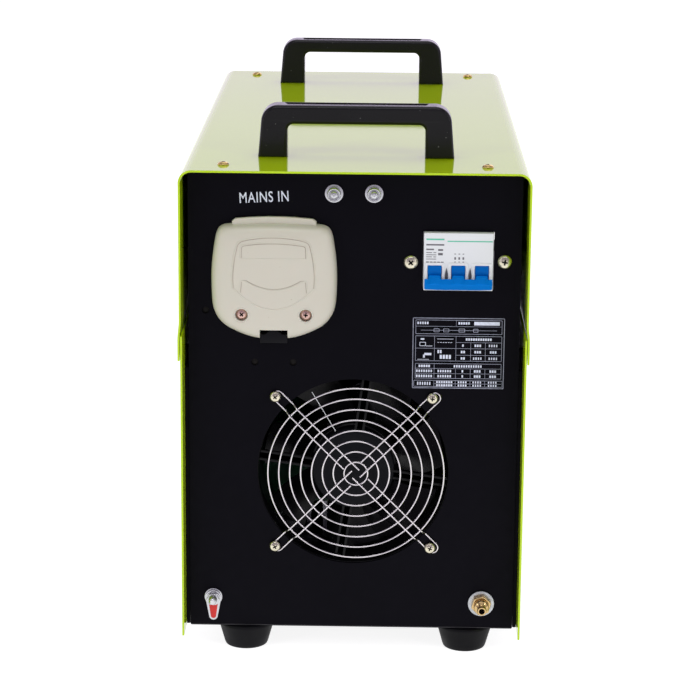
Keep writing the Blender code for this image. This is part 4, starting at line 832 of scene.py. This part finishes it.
def build_terminal_lines(surface, back, screws):
    """Moulded borders on the cover: a fine crease coloured dark as painted shade, with a soft ridge along its
    outer side.
    """
    border = [(-30.8, 297.4), (-30.2, 306.5), (-31.6, 320), (-34.6, 332.8), (-42.0, 334.6)]
    border = across_cover(soften(border, 4.5, 4), 1.7)
    window = across_cover(soften([(-36.9, 320.6), (-37.1, 329.9), (-42.0, 330.6)], 2.0, 4), 1.3)
    smile = across_cover(soften([(-36.2, 294.0), (-37.2, 303.6), (-40.6, 303.4)], 1.6, 4), -6.6)
    middle = Vector((TERMINAL_X, 312))
    creases, ridges = [], []
    for line, depth in ((border, 0.12), (window, 0.12), (smile, 0.16)):
        creases.append((draped(surface, line, back, depth), False))
        outer = [tuple(Vector(p) + (Vector(p) - middle).normalized() * 1.05) for p in line]
        ridges.append((draped(surface, outer, back, 0.42), False))
    lower = bowed((-30.6, 297.4), (2 * TERMINAL_X + 30.6, 297.4), -16.5, 24)
    ridges.append((draped(surface, lower, back, 0.42), False))
    ridges.append((draped(surface, bowed(window[0], window[-1], -0.4), back, 0.46), False))
    # The creases take the darker ivory: painted shade along each crease.
    add_piece("terminal_cover_crease_shade", wires(creases, 0.32), "ivory_shade")
    for at in screws:
        ridges.append((draped(surface, circle(at.xz, 5.6, 40), back, 0.4), True))
    add_piece("terminal_cover_ridges", wires(ridges, 0.75), "ivory_plastic")


def build_terminal_cover():
    """The ivory moulding with its lip, two screw wells, moulded line work and rubber cable entry."""
    back = box_of("terminal_cover")[1].y
    dome = terminal_dome(back)
    work = bmesh.new()
    work.from_mesh(dome)
    surface = BVHTree.FromBMesh(work)
    work.free()
    x0 = TERMINAL_X
    top = bowed((x0 - 29.6, 349.4), (x0 + 29.6, 349.4), 1.6)
    lip_line = [(x0 - 32.1, 336), (x0 - 32.1, 347.4), *top, (x0 + 32.1, 347.4), (x0 + 32.1, 336)]
    body = carved(dome, [plate([lip_line], back - 4.6, back - 0.2, 0.9, 3)], "UNION", 42)
    screws = [on_face(node, back) for node in ("terminal_screw_left", "terminal_screw_right")]
    well = [(0, 30), (5.2, 30), (4.8, 13), (4.8, 9.0), (0, 9.0)]
    cutters = [turned(well, at, "rear", 40, 0.0) for at in screws]
    cutters.append(block((x0 - 10.7, back - 30, 240), (x0 + 10.7, back + 2, 264.5), 0))
    stand_in("terminal_cover", "moulding", carved(body, cutters, "DIFFERENCE", 42), "ivory_plastic")
    build_terminal_lines(surface, back, screws)

    low, high = box_of("cable_grommet")
    half, shoulder = (high.x - low.x) / 2, high.z - 3.4
    outline = [(x0 - half, low.z), (x0 + half, low.z), (x0 + half, shoulder), (x0 + 6.6, shoulder)]
    outline += bowed((x0 + 6.6, shoulder), (x0 - 6.6, shoulder), 3.2)[1:] + [(x0 - half, shoulder)]
    bore = turned([(0, 30), (3.4, 30), (3.4, -30), (0, -30)], (x0, (low.y + high.y) / 2, 258), "up", 32, 0)
    stand_in("cable_grommet", "rubber", carved(plate([outline], low.y, high.y, 0.5, 2), [bore]), "rubber")


# ---- circuit breaker

BREAKER_Z = middle_of("breaker_body").z
BREAKER_NOSE = 44.6
POLE = 18.0
TOGGLE_WIDTH = 10.3
LEVER_TILT = math.radians(-44)
TIE_BAR_REACH = 13.6


def dashes(rows, y):
    """Short printed bars given as (left, right, z, height)."""
    return joined([block((left, y - 0.08, z - height / 2), (right, y, z + height / 2), 0)
                   for left, right, z, height in rows])


def lens(x, low, high, half_width):
    """A pointed oval standing on its end."""
    shares = [step / 16 for step in range(17)]
    side = [(x + half_width * math.sin(math.pi * t), low + (high - low) * t) for t in shares]
    return side + [(2 * x - across, z) for across, z in reversed(side[1:-1])]


def build_breaker():
    """A three-pole breaker: its nose through the panel, toggle windows, rims and small print."""
    low, high = box_of("breaker_body")
    face, centre_x = low.y, (low.x + high.x) / 2
    poles = [centre_x + POLE * step for step in (-1, 0, 1)]
    gaps = [centre_x + POLE * step for step in (-0.5, 0.5)]
    half = TOGGLE_WIDTH / 2 + 0.25
    windows = [rounded_rectangle((x, 308.4), 2 * half, 13.4, 0.5, 2) for x in poles]
    outlines = [rounded_rectangle((centre_x, BREAKER_Z), 3 * POLE - 1.2, BREAKER_NOSE, 0.5, 2)] + windows
    outlines += [lens(x, 299.0, 313.4, 1.25) for x in gaps]
    made = [plate(outlines, face, face + 8.5, 0.3, 2),
            block((low.x, face + 8.3, low.z), (high.x, high.y, high.z), 0.6)]
    rims = [[rounded_rectangle((x, 308.6), 2 * half + 4.4, 17.0, 1.2, 3), window]
            for x, window in zip(poles, windows)]
    made += [plate(rim, face - 0.7, face + 0.4, 0.3, 2) for rim in rims]
    add_piece("breaker_case", joined(made), "white_plastic", stands_for=["breaker_body"], weighted=True)

    # Dark blocks at the back of the toggle windows and behind the lens-shaped grooves: painted shade in these
    # recesses.
    dark = [block((x - half, face + 7.6, 301), (x + half, face + 8.28, 316), 0) for x in poles]
    dark += [block((x - 1.6, face + 1.6, 298.0), (x + 1.6, face + 2.2, 314.4), 0) for x in gaps]
    add_piece("breaker_recess_shade", joined(dark), "grey_print")
    left, right = centre_x - 26.4, centre_x + 26.4
    band = [(left + 17.8, right - 0.6, 333.8, 0.9), (left + 1.8, left + 15.5, 335.2, 1.2)]
    add_piece("breaker_band", dashes(band, face), "teal_print")
    rows = [(1.8, 15.4, 331.0, 1.2), (1.8, 7.6, 327.4, 1.1), (10.8, 14.6, 327.0, 1.4),
            (10.8, 14.4, 323.8, 1.8)]
    for row, z in enumerate((324.9, 323.2, 321.6, 319.9)):
        rows += [(1.8, 6.2 + 0.9 * (row % 2), z, 0.55), (7.2, 9.4, z, 0.55)]
    rows += [(1.8 + 2.8 * n, 3.9 + 2.8 * n, 317.6, 0.7) for n in range(5)]
    for z, height in ((324.0, 0.6), (320.6, 1.9), (317.8, 0.6)):
        rows += [(23.2 + 3.1 * n, 24.5 + 3.1 * n, z, height) for n in range(3)]
    rows = [(left + start, left + end, z, height) for start, end, z, height in rows]
    add_piece("breaker_small_print", dashes(rows, face), "grey_print")


def build_breaker_lever():
    """Three toggles on one tie bar, thrown down at rest and turning about their common axis."""
    axis = JOINTS["breaker_lever_hinge"]
    poles = [POLE * step for step in (-1, 0, 1)]
    half, span, low, high = TOGGLE_WIDTH / 2, POLE * 1.5 - 1.2, -4.1, 3.2
    outline = [(-span, high)]
    for x in poles:
        hump = bowed((x - half + 1.2, high + 0.5), (x + half - 1.2, high + 0.5), 0.9, 6)
        outline += [(x - half + 0.4, high), *hump, (x + half - 0.4, high)]
    outline += [(span, high), (span, low + 1.2), (span - 1.0, low + 0.5), (span - 11, low), (11 - span, low),
                (1.0 - span, low + 0.5), (-span, low + 1.2)]
    bar = plate([outline], -2.9, 2.9, 0.7, 3)
    bar.transform(Matrix.Translation((0, 0, TIE_BAR_REACH * MM)) @ STANDING.inverted())
    stems = [block((x - half + 0.3, -2.6, 3.0), (x + half - 0.3, 0.6, TIE_BAR_REACH), 0.8, 3) for x in poles]
    lever = joined([bar] + stems)
    thrown = Matrix.Rotation(math.pi / 2 - LEVER_TILT, 4, "X")
    lever.transform(Matrix.Translation(axis * MM) @ thrown)
    add_piece("breaker_tie_bar", lever, "blue_plastic", "breaker_lever", ["breaker_lever"], weighted=True)
    # The drums take the darker blue: painted shade inside the toggle windows.
    drum = [(0, half), (6.1, half), (6.1, -half), (0, -half)]
    drums = joined([turned(drum, (0, 0, x), "up", 40, 0.3) for x in poles])
    drums.transform(Matrix.Translation(axis * MM) @ Matrix.Rotation(math.pi / 2, 4, "Y"))
    add_piece("breaker_toggle_drums", drums, "dark_blue_plastic", "breaker_lever")


# ---- printing on the mains end

PRINT_Y = REAR - 0.02
RATING_LEFT, RATING_RIGHT, RATING_BOTTOM, RATING_TOP = 45.3, 115.8, 216.9, 272.8
RATING_COLUMNS = (2.1, 16.8, 33.3, 44.7, 56.0, 68.6)  # upright rules, from the plate's left edge
RATING_ROWS = (1.6, 6.7, 14.2, 34.2, 36.1, 49.5, 54.7)  # level rules, from the plate's top edge


def rating_frame(left, top, right, bottom, width=0.3):
    """A ruled rectangle, in mm right of and down from the plate's top left corner."""
    middle = (RATING_LEFT + (left + right) / 2, RATING_TOP - (top + bottom) / 2)
    outer = rounded_rectangle(middle, right - left, bottom - top, 0.5, 2)
    inner = rounded_rectangle(middle, right - left - 2 * width, bottom - top - 2 * width, 0.3, 2)
    return plate([outer, inner], PRINT_Y - 0.05, PRINT_Y, 0.0, 0)


def rating_bar(left, top, right, bottom):
    """A printed bar on the rating plate, given from its upper left corner."""
    return block((RATING_LEFT + left, PRINT_Y - 0.06, RATING_TOP - bottom),
                 (RATING_LEFT + right, PRINT_Y, RATING_TOP - top), 0)


def rating_word(centre, down, letters, height=1.9, pitch=1.85):
    """A row of short upright bars, no two words alike, that stands for a word of print."""
    bars = []
    for number in range(letters):
        left = centre + (number - letters / 2) * pitch
        wide = pitch * (0.52 + 0.1 * ((3 * number + letters + int(centre)) % 3))
        bars.append(rating_bar(left, down - height / 2, left + wide, down + height / 2))
    return bars


def rating_rows(centres, rows, height=1.9):
    """Rows of words under each other. A row is (down, letters of each word)."""
    return [bar for down, letters in rows for centre, count in zip(centres, letters)
            for bar in rating_word(centre, down, count, height)]


def build_rating_plate():
    """A ruled table of generic marks, printed white on the panel."""
    edge, first, second, third, fourth, last = RATING_COLUMNS
    header, chain, table, middle, power, foot, end = RATING_ROWS
    under = foot - 1.4
    rules = [rating_frame(0, 0, RATING_RIGHT - RATING_LEFT, RATING_TOP - RATING_BOTTOM, 0.45)]
    rules += [rating_frame(edge, header, last, chain + 6.1), rating_frame(edge, table, last, middle),
              rating_frame(edge, power, last, under), rating_frame(edge - 1, foot, last + 1, end)]
    across = [(chain, edge, last), (chain + 3.1, edge + 4, last - 4), (table + 5.1, second, last),
              (table + 9.9, edge, last), (table + 15.2, second, last), (power + 4, edge, last),
              (power + 8, edge, last), (foot + 2.7, first, last)]
    upright = [(second, header, chain), (first, table, middle), (second, table, middle),
               (third, table + 5.1, middle), (fourth, table + 5.1, middle), (first, power, under),
               (first, foot, end)]
    upright += [(x, *ends) for x in (second, third, fourth) for ends in ((power + 4, under), (foot, end))]
    rules += [rating_bar(left, down - 0.12, right, down + 0.12) for down, left, right in across]
    rules += [rating_bar(x - 0.12, top, x + 0.12, bottom) for x, top, bottom in upright]
    rules += [rating_frame(x, chain + 1.7, x + wide, chain + 4.5, 0.35)
              for x, wide in ((16.0, 4.4), (23.4, 4.4), (35.2, 4.8), (46.4, 3.8))]
    add_piece("rating_rules", joined(rules), "rule_print")

    cells = [(left + right) / 2 for left, right in zip(RATING_COLUMNS, RATING_COLUMNS[1:])]
    marks = rating_rows((8, 39.5), [(header + 2.5, (5, 5))]) + rating_word(51, table + 2.6, 11)
    marks += rating_rows(cells[2:], [(table + 7.5, (1, 3, 4)), (table + 12.6, (2, 3, 3)),
                                     (table + 17.7, (2, 4, 4))])
    marks += rating_word(21, table + 12.4, 2, 2.6) + rating_word(25.6, table + 16.6, 4, 3.2, 2.3)
    marks += rating_rows((cells[0], 43), [(power + 2.1, (5, 12))])
    marks += rating_rows(cells, [(power + 6, (7, 6, 1, 3, 3)), (power + 10.1, (7, 6, 1, 3, 3))])
    marks += rating_word(cells[0], (foot + end) / 2, 6, 2.4)
    marks += rating_rows(cells[1:], [(foot + 1.4, (7, 4, 4, 4)), (foot + 4.0, (7, 4, 4, 4))], 1.6)
    marks += rating_word(cells[1], table + 5.2, 6, 0.4, 2.0)
    marks.append(rating_frame(edge + 3.2, table + 5, edge + 8, table + 8.2, 0.4))
    marks += [rating_bar(47, header + 1.2, 66.6, header + 4.0),
              rating_bar(first + 2, table + 2.3, second - 2, table + 2.6)]
    symbols = ((4, 2, 6.8, 3.2), (8, 7.9, 13, 8.3), (7, 13.6, 12.4, 15.4), (6, 15, 7.4, 17.4),
               (1.6, 18.6, 10.6, 18.9))
    marks += [rating_bar(edge + left, table + top, edge + right, table + bottom)
              for left, top, right, bottom in symbols]
    add_piece("rating_print", joined(marks), "white_print")


def lettering(words, size, at, facing, narrow=1.0, turn=0.0):
    """Printed letters, a hair proud of the panel, starting at a point."""
    curve = bpy.data.curves.new("letters", "FONT")
    curve.body = words
    curve.size = size
    curve.space_character = 1.1
    curve.extrude = 0.03
    curve.offset = 0.06
    mesh = applied(curve)
    place = Matrix.Scale(MM, 4) @ Matrix.Translation(Vector(at)) @ facing @ Matrix.Rotation(turn, 4, "Z")
    mesh.transform(place @ Matrix.Diagonal((narrow, 1, 1, 1)))
    return mesh


def build_printing():
    """The rating plate and everything else that is printed on the unit."""
    build_rating_plate()
    mesh = lettering("MAINS IN", 11.6, (-88.2, PRINT_Y - 0.03, 360.6), STANDING, 0.72, 0.05)
    add_piece("mains_label", mesh, "white_print")


# ---- fan and guard

WIRE = 0.68
GUARD_SHIFT = 2.2  # the guard hangs a little to one side of its screws
RINGS = 8
INNER_RING = 9.2
RING_STEP = 8.48
ARM_HALF_GAP = 4.0
ARM_INNER_END = 0.4


def build_guard():
    """Eight rings of bright wire behind four hairpin arms, stepping back to the panel at their screws."""
    ring_y = REAR - 4.0
    arm_y = ring_y - 1.2
    tail_y = REAR - 0.3 - WIRE
    outer = INNER_RING + RING_STEP * (RINGS - 1)
    loop = math.hypot(*(middle_of(GUARD_SCREWS[1]).xz - FAN.xz))
    x0, z0, half = FAN.x + GUARD_SHIFT, FAN.z, ARM_HALF_GAP
    lines = []
    for number in range(RINGS):
        spots = circle((x0, z0), INNER_RING + RING_STEP * number, 40 + 14 * number)
        lines.append(([(x, ring_y, z) for x, z in spots], True))
    near, far = outer + 0.8, outer + 4.8
    path = [(INNER_RING + 0.2, half, arm_y), (near, half, arm_y), (far, half, tail_y)]
    path += [(loop + x, z, tail_y) for x, z in arc((0, 0), half, 90, -90, 14)]
    path += [(far, -half, tail_y), (near, -half, arm_y), (ARM_INNER_END, -half, arm_y)]
    for quarter in range(4):
        turn = math.radians(45 + 90 * quarter)
        cos, sin = math.cos(turn), math.sin(turn)
        arm = [(x0 + cos * out - sin * aside, y, z0 + sin * out + cos * aside)
               for out, aside, y in soften(path, 1.2, 3)]
        lines.append((arm, False))
    stand_in("fan_guard", "wires", wires(lines, WIRE, 3), "chrome")


def blade_mesh(number, centre):
    """One twisted blade, steeper at its root than at its tip."""
    work = bmesh.new()
    turn = math.tau / 7 * number
    rows = []
    for radial in range(9):
        share = radial / 8
        radius = 33 + share * 38
        half_chord, pitch = 16 + 6 * share, math.radians(42 - 16 * share)
        row = []
        for chord in range(9):
            along = (chord / 4 - 1) * half_chord
            angle = turn + along * math.cos(pitch) / radius + 0.25 * share
            height = along * math.sin(pitch) * 0.8 + 2.5 * (1 - (along / half_chord) ** 2)
            row.append(work.verts.new((radius * math.cos(angle), height, radius * math.sin(angle))))
        rows.append(row)
    for inner, outer in zip(rows, rows[1:]):
        for index in range(8):
            work.faces.new((inner[index], inner[index + 1], outer[index + 1], outer[index]))
    bmesh.ops.recalc_face_normals(work, faces=work.faces)
    bmesh.ops.solidify(work, geom=list(work.faces), thickness=1.6)
    return finish_mesh(work, 45, Matrix.Translation(centre))


def build_fan():
    """A moulded fan behind the panel: flange, duct, ribbed struts, motor cap and seven blades."""
    low, high = box_of("fan_frame")
    front, width = low.y, high.x - low.x
    at = Vector((FAN.x, front, FAN.z))
    outlines = [rounded_rectangle(FAN.xz, width, width, 16, 8), circle(FAN.xz, 74.2, 96)]
    duct = [(76.5, -1), (76.5, front - high.y), (73.5, front - high.y), (73.5, -8), (74.4, -1)]
    made = [plate(outlines, front, front + 4.0, 0.5, 2), turned(duct, at, "rear", 96, 0.5, True)]
    for angle in (8, 98, 188, 278):
        turn = Matrix.Translation(at * MM) @ Matrix.Rotation(math.radians(angle), 4, "Y")
        for side in (-1, 1):
            strut = [block((29, 7.2 + side * 0.6, -3.0 * side - 0.9), (75, 12.2, -3.0 * side + 0.9), 0.4),
                     block((29, 10.4, -3.2), (75, 11.6, 3.2), 0.3)]
            for mesh in strut:
                mesh.transform(turn)
            made += strut
    add_piece("fan_housing", joined(made), "fan_plastic", stands_for=["fan_frame"], weighted=True)
    cap = [(0, -6), (10, -6), (10.6, -6.5), (29, -6.5), (31.6, -7.4), (32.4, -9), (32.4, -14.4), (0, -14.4)]
    add_piece("fan_motor_cap", turned(cap, at, "rear", 72, 0.5), "motor_cap")
    # A white lead along a strut to the motor; its bright white also stands in for a painted glint on the
    # strut's edge.
    lead = [at + Vector((radius * math.cos(turn), 5.0, radius * math.sin(turn)))
            for radius, turn in ((70.5, 2.053), (34, 1.995))]
    add_piece("fan_lead_and_glint", wires([(lead, False)], 0.32), "white_plastic")

    centre = at + Vector((0, 31, 0))
    hub = [(0, 13.6), (33, 13.6), (35, 11.6), (35, -14), (32, -14), (32, -9), (0, -9)]
    parts = [turned(hub, centre, "rear", 72, 0.5)] + [blade_mesh(number, centre) for number in range(7)]
    add_piece("fan_wheel", joined(parts, 45), "fan_plastic", "fan_rotor", ["fan_rotor"])


# ---- small fittings on the mains end


def thread(radius, bottom, top, pitch=0.8):
    """Profile points of a threaded shank, from its top down."""
    points = []
    count = int((top - bottom) / pitch)
    for step in range(count):
        z = top - step * pitch
        points += [(radius - 0.35, z), (radius, z - pitch / 2)]
    return points


def hexagon(centre, flats, bore, back, depth, turn=0):
    """A chamfered nut on the mains end, its back at the given depth."""
    corners = arc(centre, flats / math.sqrt(3), turn, turn + 360, 6)[:-1]
    nut = plate([soften(corners, 0.5, 3, True), circle(centre, bore, 32)], back - depth, back, 0.45, 2)
    cone = [(flats * 2, depth + 3), (flats * 0.5 + 0.15, depth + 0.1), (flats * 0.74, depth - 1.2),
            (flats * 2, depth - 1.2)]
    return carved(nut, [turned(cone, (centre[0], back, centre[1]), "rear", 64, 0, True)], sharp=30)


def build_studs():
    """Two threaded studs beside the mains label, each with a washer."""
    stud = [(0, 8.7), (0.35, 8.7), (0.5, 8.95), (0.9, 9.0), (1.9, 8.8), (2.7, 8.2), (3.0, 7.4), (3.0, 6.2),
            (3.6, 6.2), (3.9, 7.0), (4.6, 7.2), (5.2, 6.6), (5.3, 5.6), (5.3, 3.1), (3.0, 3.1), (3.0, -10),
            (0, -10)]
    for side in ("left", "right"):
        washer = "top_stud_washer_" + side
        at = on_face(washer, box_of(washer)[1].y)
        rings = [turned(ring(7.0, 3.3, 0, 1.4), at, "rear", 64, 0.35, True),
                 turned(ring(5.7, 3.2, 1.5, 3.0), at, "rear", 48, 0.4, True)]
        stand_in(washer, "plated", joined(rings), "zinc")
        stand_in("top_stud_" + side, "plated", turned(stud, at, "rear", 56, 0.12), "zinc")


def build_earth_point():
    """The earth bolt with its washers and nut, and the tag that hangs from it."""
    at = on_face("earth_washer", box_of("earth_washer")[1].y)
    stand_in("earth_washer", "plated", turned(ring(7.0, 3.3, 0, 1.4), at, "rear", 64, 0.3, True), "zinc")
    low, high = box_of("earth_tag")
    half, foot = (high.x - low.x) / 2, low.z - at.z
    tag = arc(at.xz, half, -18, 198, 24) + arc((at.x, at.z + foot + 3.4), 3.4, 192, 348, 14)
    stand_in("earth_tag", "plated", plate([tag, circle(at.xz, 3.3, 32)], low.y, high.y, 0.12, 1), "zinc")
    red = [(at.x + 3.5, at.z - 5.4), (at.x - 3.5, at.z - 5.4)]
    red += arc((at.x, at.z + foot + 3.6), 2.2, 200, 340, 12)
    add_piece("earth_tag_mark", plate([red], low.y - 0.1, low.y + 0.05, 0.0, 0), "red_print")
    low, high = box_of("earth_nut")
    seat = on_face("earth_washer", high.y)
    rings = [turned(ring(radius, 3.1, bottom, top), seat, "rear", 56, 0.3, True)
             for radius, bottom, top in ((6.3, 0.0, 1.2), (5.3, 1.3, 2.9))]
    nut = hexagon(at.xz, 9.0, 3.0, high.y - 2.9, high.y - 2.9 - low.y + 0.6)
    stand_in("earth_nut", "plated", joined(rings + [nut], 30), "zinc")
    bolt = [(0, 14.0), (1.6, 13.9), (2.4, 13.3)] + thread(3.0, 0, 13.0)
    bolt += [(2.9, -4), (5.4, -4), (5.4, -8), (0, -8)]
    stand_in("earth_bolt", "plated", turned(bolt, at, "rear", 40, 0.1, sharp=30), "zinc")


def build_air_inlet():
    """The air inlet: a pale washer, a brass nut and a stepped tube open at its end."""
    at = on_face("air_inlet_washer", box_of("air_inlet_washer")[1].y)
    washer = turned(ring(10.3, 5.4, 0, 1.6), at, "rear", 72, 0.35, True)
    stand_in("air_inlet_washer", "plated", washer, "galvanised")
    low, high = box_of("air_inlet_nut")
    stand_in("air_inlet_nut", "brass", hexagon(at.xz, 14.0, 5.2, high.y, high.y - low.y, 75), "brass")
    tip = at.y - box_of("air_inlet_barb")[0].y
    barb = [(2.3, tip), (3.3, tip), (3.75, tip - 1.3), (3.4, tip - 2.8), (3.4, tip - 4.2), (3.75, tip - 4.4),
            (3.4, 13.8), (3.6, 13.2), (5.6, 12.2), (5.9, 11.2), (5.9, 8.6), (5.4, 8.2), (5.4, 7.6),
            (5.0, 7.4), (5.0, -22), (3.5, -22), (3.5, -34), (2.3, -34)]
    tail = turned(barb, at, "rear", 48, 0.2, True, 30)
    add_piece("air_inlet_tail", tail, "brass", stands_for=["air_inlet_barb"])


# ---- operator's end

SEGMENTS = {
    "top": ((-2.6, 5.6), (2.6, 5.6)), "middle": ((-2.6, 0), (2.6, 0)), "bottom": ((-2.6, -5.6), (2.6, -5.6)),
    "upper_left": ((-3.2, 0.6), (-3.2, 5.0)), "upper_right": ((3.2, 0.6), (3.2, 5.0)),
    "lower_left": ((-3.2, -5.0), (-3.2, -0.6)), "lower_right": ((3.2, -5.0), (3.2, -0.6)),
}
DIGITS = {
    "4": ("middle", "upper_left", "upper_right", "lower_right"),
    "0": ("top", "bottom", "upper_left", "upper_right", "lower_left", "lower_right"),
}


def build_display():
    """A tinted window in a black bezel, with a lit two-digit read-out behind it."""
    low, high = box_of("display_window")
    face, middle = high.y, middle_of("display_window")
    opening = rounded_rectangle(middle.xz, high.x - low.x - 14, high.z - low.z - 12, 2.0, 6)
    bezel = plate([node_outline("display_window", 0, 4.0, 8), opening], face - 3.0, face, 0.7, 3)
    add_piece("display_bezel", bezel, "black_plastic", stands_for=["display_window"], weighted=True)
    add_piece("display_pane", plate([opening], face - 3.0, face - 1.2, 0.1, 1), "window")
    body = block((middle.x - 36, low.y, middle.z - 14), (middle.x + 36, face - 2.8, middle.z + 14), 0.5)
    add_piece("display_housing", body, "black_plastic")
    bars = []
    for place, digit in enumerate("40"):
        centre = middle.x + 6.0 - 12.0 * place
        for segment in DIGITS[digit]:
            (x0, z0), (x1, z1) = SEGMENTS[segment]
            bars.append(block((centre - x1 - 0.6, face - 1.25, middle.z + z0 - 0.6),
                              (centre - x0 + 0.6, face - 1.1, middle.z + z1 + 0.6), 0.05, 1))
    add_piece("display_digits", joined(bars), "lit_segment")


def build_knob():
    """The fluted current knob with its pointer line, on the shaft of its control."""
    low, high = box_of("current_knob")
    base, top = low.y, high.y
    at = on_face("current_knob", base)
    outline = []
    for step in range(180):
        angle = math.tau * step / 180
        radius = 17.4 - 1.1 * max(0.0, math.cos(12 * angle)) ** 3
        outline.append((at.x + radius * math.cos(angle), at.z + radius * math.sin(angle)))
    skirt = [(0, 4.2), (17, 4.2), (19, 3.0), (19, 0.2), (17.8, 0.0), (8.0, 0.0), (8.0, 2.0), (0, 2.0)]
    grip = joined([plate([outline], base + 3.4, top, 1.1, 4), turned(skirt, at, "front", 72, 0.4)])
    stand_in("current_knob", "grip", grip, "black_plastic", "current_knob", True)
    face = top - base + 0.15
    rings = [(radius + step, face - dip) for radius in (3.0, 6.0, 9.0)
             for step, dip in ((0, 0), (0.4, 0.25), (0.8, 0))]
    cap = [(0, face)] + rings + [(11.0, face), (12.5, face - 0.4), (0, face - 0.55)]
    add_piece("current_knob_cap", turned(cap, at, "front", 64, 0.2), "aluminium", "current_knob")
    pointer = block((at.x - 0.6, top - 2, at.z + 6), (at.x + 0.6, top + 0.2, at.z + 16.4), 0.15, 1)
    add_piece("current_knob_pointer", pointer, "white_print", "current_knob")
    build_dial(Vector((at.x, FRONT + 0.02, at.z)))
    at.y = FRONT
    shaft = [(0, 12.6), (3.0, 12.6), (3.0, -4), (12, -4), (12, -14), (0, -14)]
    nut = turned(ring(7.0, 3.2, 0.2, 3.0), at, "front", 32, 0.3, True)
    stand_in("current_control", "body", joined([nut, turned(shaft, at, "front", 32, 0.3)]), "zinc")


def build_dial(centre):
    """Eleven ticks round the knob, with an even number at every second one."""
    for number in range(11):
        numbered = number % 2 == 0
        turn = math.radians(225 - 27 * number)
        tick = block((-0.35, -0.05, 20.8), (0.35, 0.05, 24.2 if numbered else 22.8), 0)
        tick.transform(Matrix.Translation(centre * MM) @ Matrix.Rotation(turn - math.pi / 2, 4, "Y"))
        add_piece(f"dial_tick_{number}", tick, "white_print")
        if numbered:
            spot = centre + Vector((-math.cos(turn), 0, math.sin(turn))) * 29.0
            spot += Vector((1.6 * len(str(number)), 0.03, -1.9))
            label = lettering(str(number), 5.4, spot, Matrix.Rotation(math.pi, 4, "Z") @ STANDING)
            add_piece(f"dial_number_{number}", label, "white_print")


def build_switch():
    """The housing of the mode switch and its rocker."""
    low, high = box_of("mode_switch_body")
    middle = middle_of("mode_switch_body").xz
    rim = [node_outline("mode_switch_body", 0, 1.5, 4), rounded_rectangle(middle, 10.6, 16.6, 0.6, 2)]
    well = [rounded_rectangle(middle, 12.8, 18.8, 0.5, 2), rounded_rectangle(middle, 10.6, 16.6, 0.4, 2)]
    floor = block((middle.x - 6.4, low.y, middle.y - 9.4), (middle.x + 6.4, low.y + 8, middle.y + 9.4), 0.3)
    walls = [plate(rim, high.y - 2.0, high.y, 0.5, 2), plate(well, low.y + 1, high.y - 1.6, 0.1, 1)]
    add_piece("mode_switch_housing", joined(walls + [floor]), "black_plastic",
              stands_for=["mode_switch_body"], weighted=True)
    dress("mode_rocker", "black_plastic", 0.5)


def build_sockets():
    """The torch connector, the work-lead socket and the trigger socket."""
    panel = FRONT + 0.3
    at = on_face("torch_connector", panel)
    tip = box_of("torch_connector")[1].y - panel
    torch = [(4.6, tip), (9.5, tip), (10.3, tip - 1)] + thread(10.3, 9.4, tip - 1.4, 1.5)
    torch += [(9.9, 9), (14.5, 8.7), (14.5, 0), (9.0, 0), (9.0, -20), (5.5, -20), (5.5, -30), (2.4, -30),
              (2.4, 6), (4.6, 7)]
    stand_in("torch_connector", "brass", turned(torch, at, "front", 64, 0.25, True, 30), "brass")
    flange = [soften(circle(at.xz, 21.0, 6), 2.5, 5, True), circle(at.xz, 14.7, 48)]
    add_piece("torch_connector_flange", plate(flange, panel, panel + 4.0, 0.8, 3), "black_plastic",
              weighted=True)

    at = on_face("work_socket", panel)
    work = [(0, -8), (7.0, -8), (7.0, 14), (8.2, 14.0), (15.5, 13.7), (17.5, 11.4), (19.5, 2.5), (19.5, 0),
            (11.0, 0), (11.0, -16), (0, -16)]
    stand_in("work_socket", "shell", turned(work, at, "front", 72, 0.5), "black_plastic")
    add_piece("work_socket_sleeve", turned(ring(6.9, 6.2, -7.8, 10), at, "front", 40, 0.15, True), "brass")

    at = on_face("control_socket", panel)
    control = [(0, -2), (5.5, -2), (5.5, 9), (7.4, 9)] + thread(7.6, 3.2, 8.8, 0.9)
    control += [(7.6, 3), (11, 3), (11, 0), (8.0, 0), (8.0, -12), (0, -12)]
    stand_in("control_socket", "shell", turned(control, at, "front", 48, 0.2, sharp=30), "zinc")
    insert = turned([(0, 1.2), (5.3, 1.2), (5.3, -1.8), (0, -1.8)], at, "front", 40, 0.2)
    add_piece("control_socket_insert", insert, "black_plastic")
    pins = [turned([(0, 5.5), (0.5, 5.5), (0.5, 0), (0, 0)], (x, panel + 1.0, z), "front", 16, 0.2)
            for x, z in circle(at.xz, 2.9, 4)]
    add_piece("control_socket_pins", joined(pins), "brass")


# ---- inside the case


def build_inside():
    """The pieces behind the panels keep their CAD shapes, with real finishes."""
    for node, finish, edge in (
        ("base_plate", "black_powder_coat", 0.3), ("component_shelf", "galvanised", 0.3),
        ("terminal_block", "black_plastic", 0.3), ("heatsink", "aluminium", 0.4),
        ("power_board", "board", 0.3), ("control_board", "board", 0.3), ("main_transformer", "ferrite", 0.8),
        ("output_choke", "copper", 0.0), ("solenoid_valve", "brass", 0.5), ("air_hose", "hose", 0.0),
    ):
        dress(node, finish, edge)


build_studio()
build_cover()
build_side_panels()
build_base_upstands()
build_end_panels()
build_screws()
build_handle("rear_handle", 415.0)
build_handle("front_handle", 418.2)
build_feet()
build_terminal_cover()
build_breaker()
build_breaker_lever()
build_printing()
build_guard()
build_fan()
build_studs()
build_earth_point()
build_air_inlet()
build_display()
build_knob()
build_switch()
build_sockets()
build_inside()
